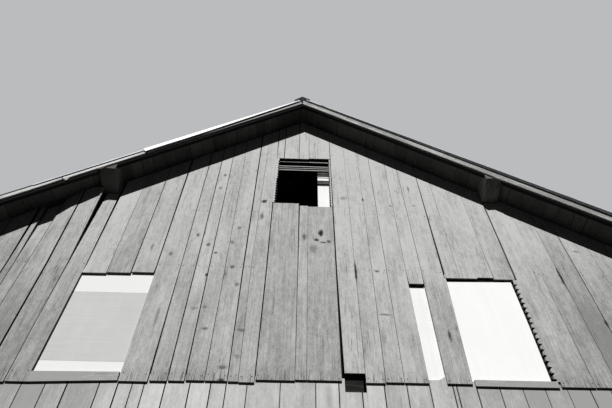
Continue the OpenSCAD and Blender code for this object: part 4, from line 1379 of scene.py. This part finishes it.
# %% Notched strip beside it
# the strip is cut across notch_cuts times a notch, and every fourth cut is pushed in
notch_pitch, notch_deep, notch_cuts = 80 * mm, 38 * mm, 4
strip_left, strip_right, strip_foot, strip_head = 2.94, 3.0, 4.80, right_high.z - 4 * mm
heights = [strip_foot + row * notch_pitch / notch_cuts
           for row in range(1, int((strip_head - strip_foot) / notch_pitch * notch_cuts))]
notched = open_piece("right_window_notched_strip")
add_plank((strip_left, -wall_out + 1 * mm, strip_foot), (strip_right, -wall_mid, strip_head), 0.5 * mm)
for z in heights:
    split_at("Z", z)
for z in heights[::notch_cuts]:
    move_part(notched, lambda co: abs(co.z - z) < 2 * mm and co.x < strip_left + 10 * mm,
              (notch_deep, 0, 10 * mm))
move_part(notched, lambda co: co.x < strip_right - 10 * mm and co.z < half_way, (-10 * mm, 0, 0))
mark_plank(notched, "Z", 0.8)
close_piece(notched, front_wood)

# %% Wavy sheet behind it
wavy = open_piece("right_window_wavy_sheet")
height, wavy_pitch = right_high.z - right_low.z, 75 * mm
wave_grid(wavy, right_low.x, right_high.x, 0, height, 0, round(height / wavy_pitch), wave_depth)
bpy.ops.object.mode_set(mode="OBJECT")
wavy.rotation_euler = (math.pi / 2, 0, 0)
wavy.location = (0, (right_low.y + flat_t + right_high.y) / 2, right_low.z)
bpy.ops.object.transform_apply(location=True, rotation=True, scale=True)
close_piece(wavy, shaded_wavy_sheet)
give_gauge(wavy)
smooth(wavy)

# %% Sills
# x of both ends, foot and head at the left end, foot and head at the right end, outer face
sill_boards = [(-2.958, -1.972, 4.657, 4.793, 4.697, 4.808, -wall_out),
               (2.012, 2.958, 4.723, 4.806, 4.723, 4.806, -wall_out),
               (-2.958, -1.972, 4.690, 4.79, 4.690, 4.79, wall_mid),
               (1.972, 2.958, 4.690, 4.79, 4.690, 4.79, wall_mid)]
sills = open_piece("window_sill_boards")
for x0, x1, foot, head, foot_right, head_right, y0 in sill_boards:
    add_plank((x0, y0, foot), (x1, y0 + board_t, head), 3 * mm)
    middle = (foot + head) / 2
    move_part(sills, lambda co: co.x > x1 - 5 * mm and co.z < middle, (0, 0, foot_right - foot))
    move_part(sills, lambda co: co.x > x1 - 5 * mm and co.z > middle, (0, 0, head_right - head))
    split_at("X", (x0 + x1) / 2)
    move_part(sills, lambda co: abs(co.x - (x0 + x1) / 2) < 2 * mm, (0, 0, chance.uniform(-3, 3) * mm))
    mark_plank(sills, "X", 0.1)
close_piece(sills, lower_wood, ["window_sills"])

# %% [markdown]
# ## Slats and white boards inside the hay opening
# Thin slats cross the head of the opening. Behind its right side two white boards stand on
# a dark post, with a thin batten across it between them. They stand in shadow, so plain
# planks are enough, and the care goes into the height of each edge.

# %% Slats
slat_low, slat_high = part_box("hay_opening_slats")
slat_h, slat_t = 19 * mm, 6 * mm
slats = open_piece("hay_slats")
# the height of each slat's foot, and its tone
for foot, tone in ((8.935, 0.9), (8.992, 0.2), (9.054, 1.0), (9.195, 0.5)):
    add_plank((slat_low.x, slat_high.y - 1 * mm - slat_t, foot),
              (slat_high.x, slat_high.y - 1 * mm, foot + slat_h), 1 * mm)
    move_part(slats, lambda co: co.x > 0, (0, 0, -chance.uniform(4, 12) * mm))
    mark_plank(slats, "X", tone)
close_piece(slats, side_wood, ["hay_opening_slats"])

# %% White boards and their post
white_low, white_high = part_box("hay_white_boards")
front_y, post_y, white_right = white_low.y, white_low.y + 8 * mm, white_high.x + 30 * mm
white_heights, batten = ((white_low.z, 8.622), (8.786, 8.9)), (8.672, 8.697)
whites = open_piece("hay_white_planks")
for z0, z1 in white_heights:
    add_plank((white_low.x, front_y, z0), (white_right, post_y, z1), 1 * mm)
    mark_plank(whites, "Z", 0.5)
close_piece(whites, plain_white, ["hay_white_boards"])

behind = open_piece("hay_backing_post")
add_plank((white_low.x, post_y, white_low.z), (white_right, white_high.y, white_high.z))
mark_plank(behind, "Z", 0.6)
add_plank((white_low.x, front_y - 14 * mm, batten[0]), (white_right, post_y, batten[1]))
mark_plank(behind, "X", 1.0)
close_piece(behind, post_wood)

# %% [markdown]
# ## Nails
# Each board is nailed at every rail behind it, with two nails. One nail head is modelled,
# a disc with a rounded rim, and copied to its places, and the copies are joined. It has
# only eight sides, because nobody comes near enough to count them. A bump would be
# lighter still, but these heads throw small shadows in the low sun.

# %% One nail head
bpy.ops.object.select_all(action="DESELECT")
bpy.ops.mesh.primitive_cylinder_add(vertices=8, radius=7 * mm, depth=4 * mm, rotation=(math.pi / 2, 0, 0))
nail = bpy.context.object
bpy.ops.object.transform_apply(location=True, rotation=True, scale=True)
edit(nail)
bpy.ops.mesh.select_all(action="SELECT")
bpy.ops.mesh.bevel(offset=1 * mm, segments=1, affect="EDGES")
bpy.ops.object.mode_set(mode="OBJECT")

# %% Places of the nails
# the height of each rail, and which of the three heights of a seam is the nearest
rails, from_edge = ((4.79, 0), (6.475, 1), (7.68, 2), (9.36, 2)), 30 * mm
places = []
for left, right in zip(names, names[1:]):
    edges = board_edges(left, right)
    for z, level in rails:
        if left == "hay_left":
            open_here = 7.9 < z < 9.3
        else:
            open_here = left in skipped and z < 7
        for x in (edges[0][level] + from_edge, edges[1][level] - from_edge):
            if z < roof_at(x) - 0.2 and not open_here:
                places.append((x, -wall_out - 1 * mm, z + chance.uniform(-12, 12) * mm))

# %% Copies at every place
bpy.ops.object.select_all(action="DESELECT")
for place in places:
    copy = bpy.data.objects.new("front_nail_heads", nail.data.copy())
    copy.data.transform(Matrix.Translation(place))
    bpy.context.scene.collection.objects.link(copy)
    copy.select_set(True)
    bpy.context.view_layer.objects.active = copy
bpy.ops.object.join()
heads = bpy.context.object
heads.name = "front_nail_heads"
close_piece(heads, nail_iron)
bpy.data.objects.remove(nail)
print("nails:", len(places))
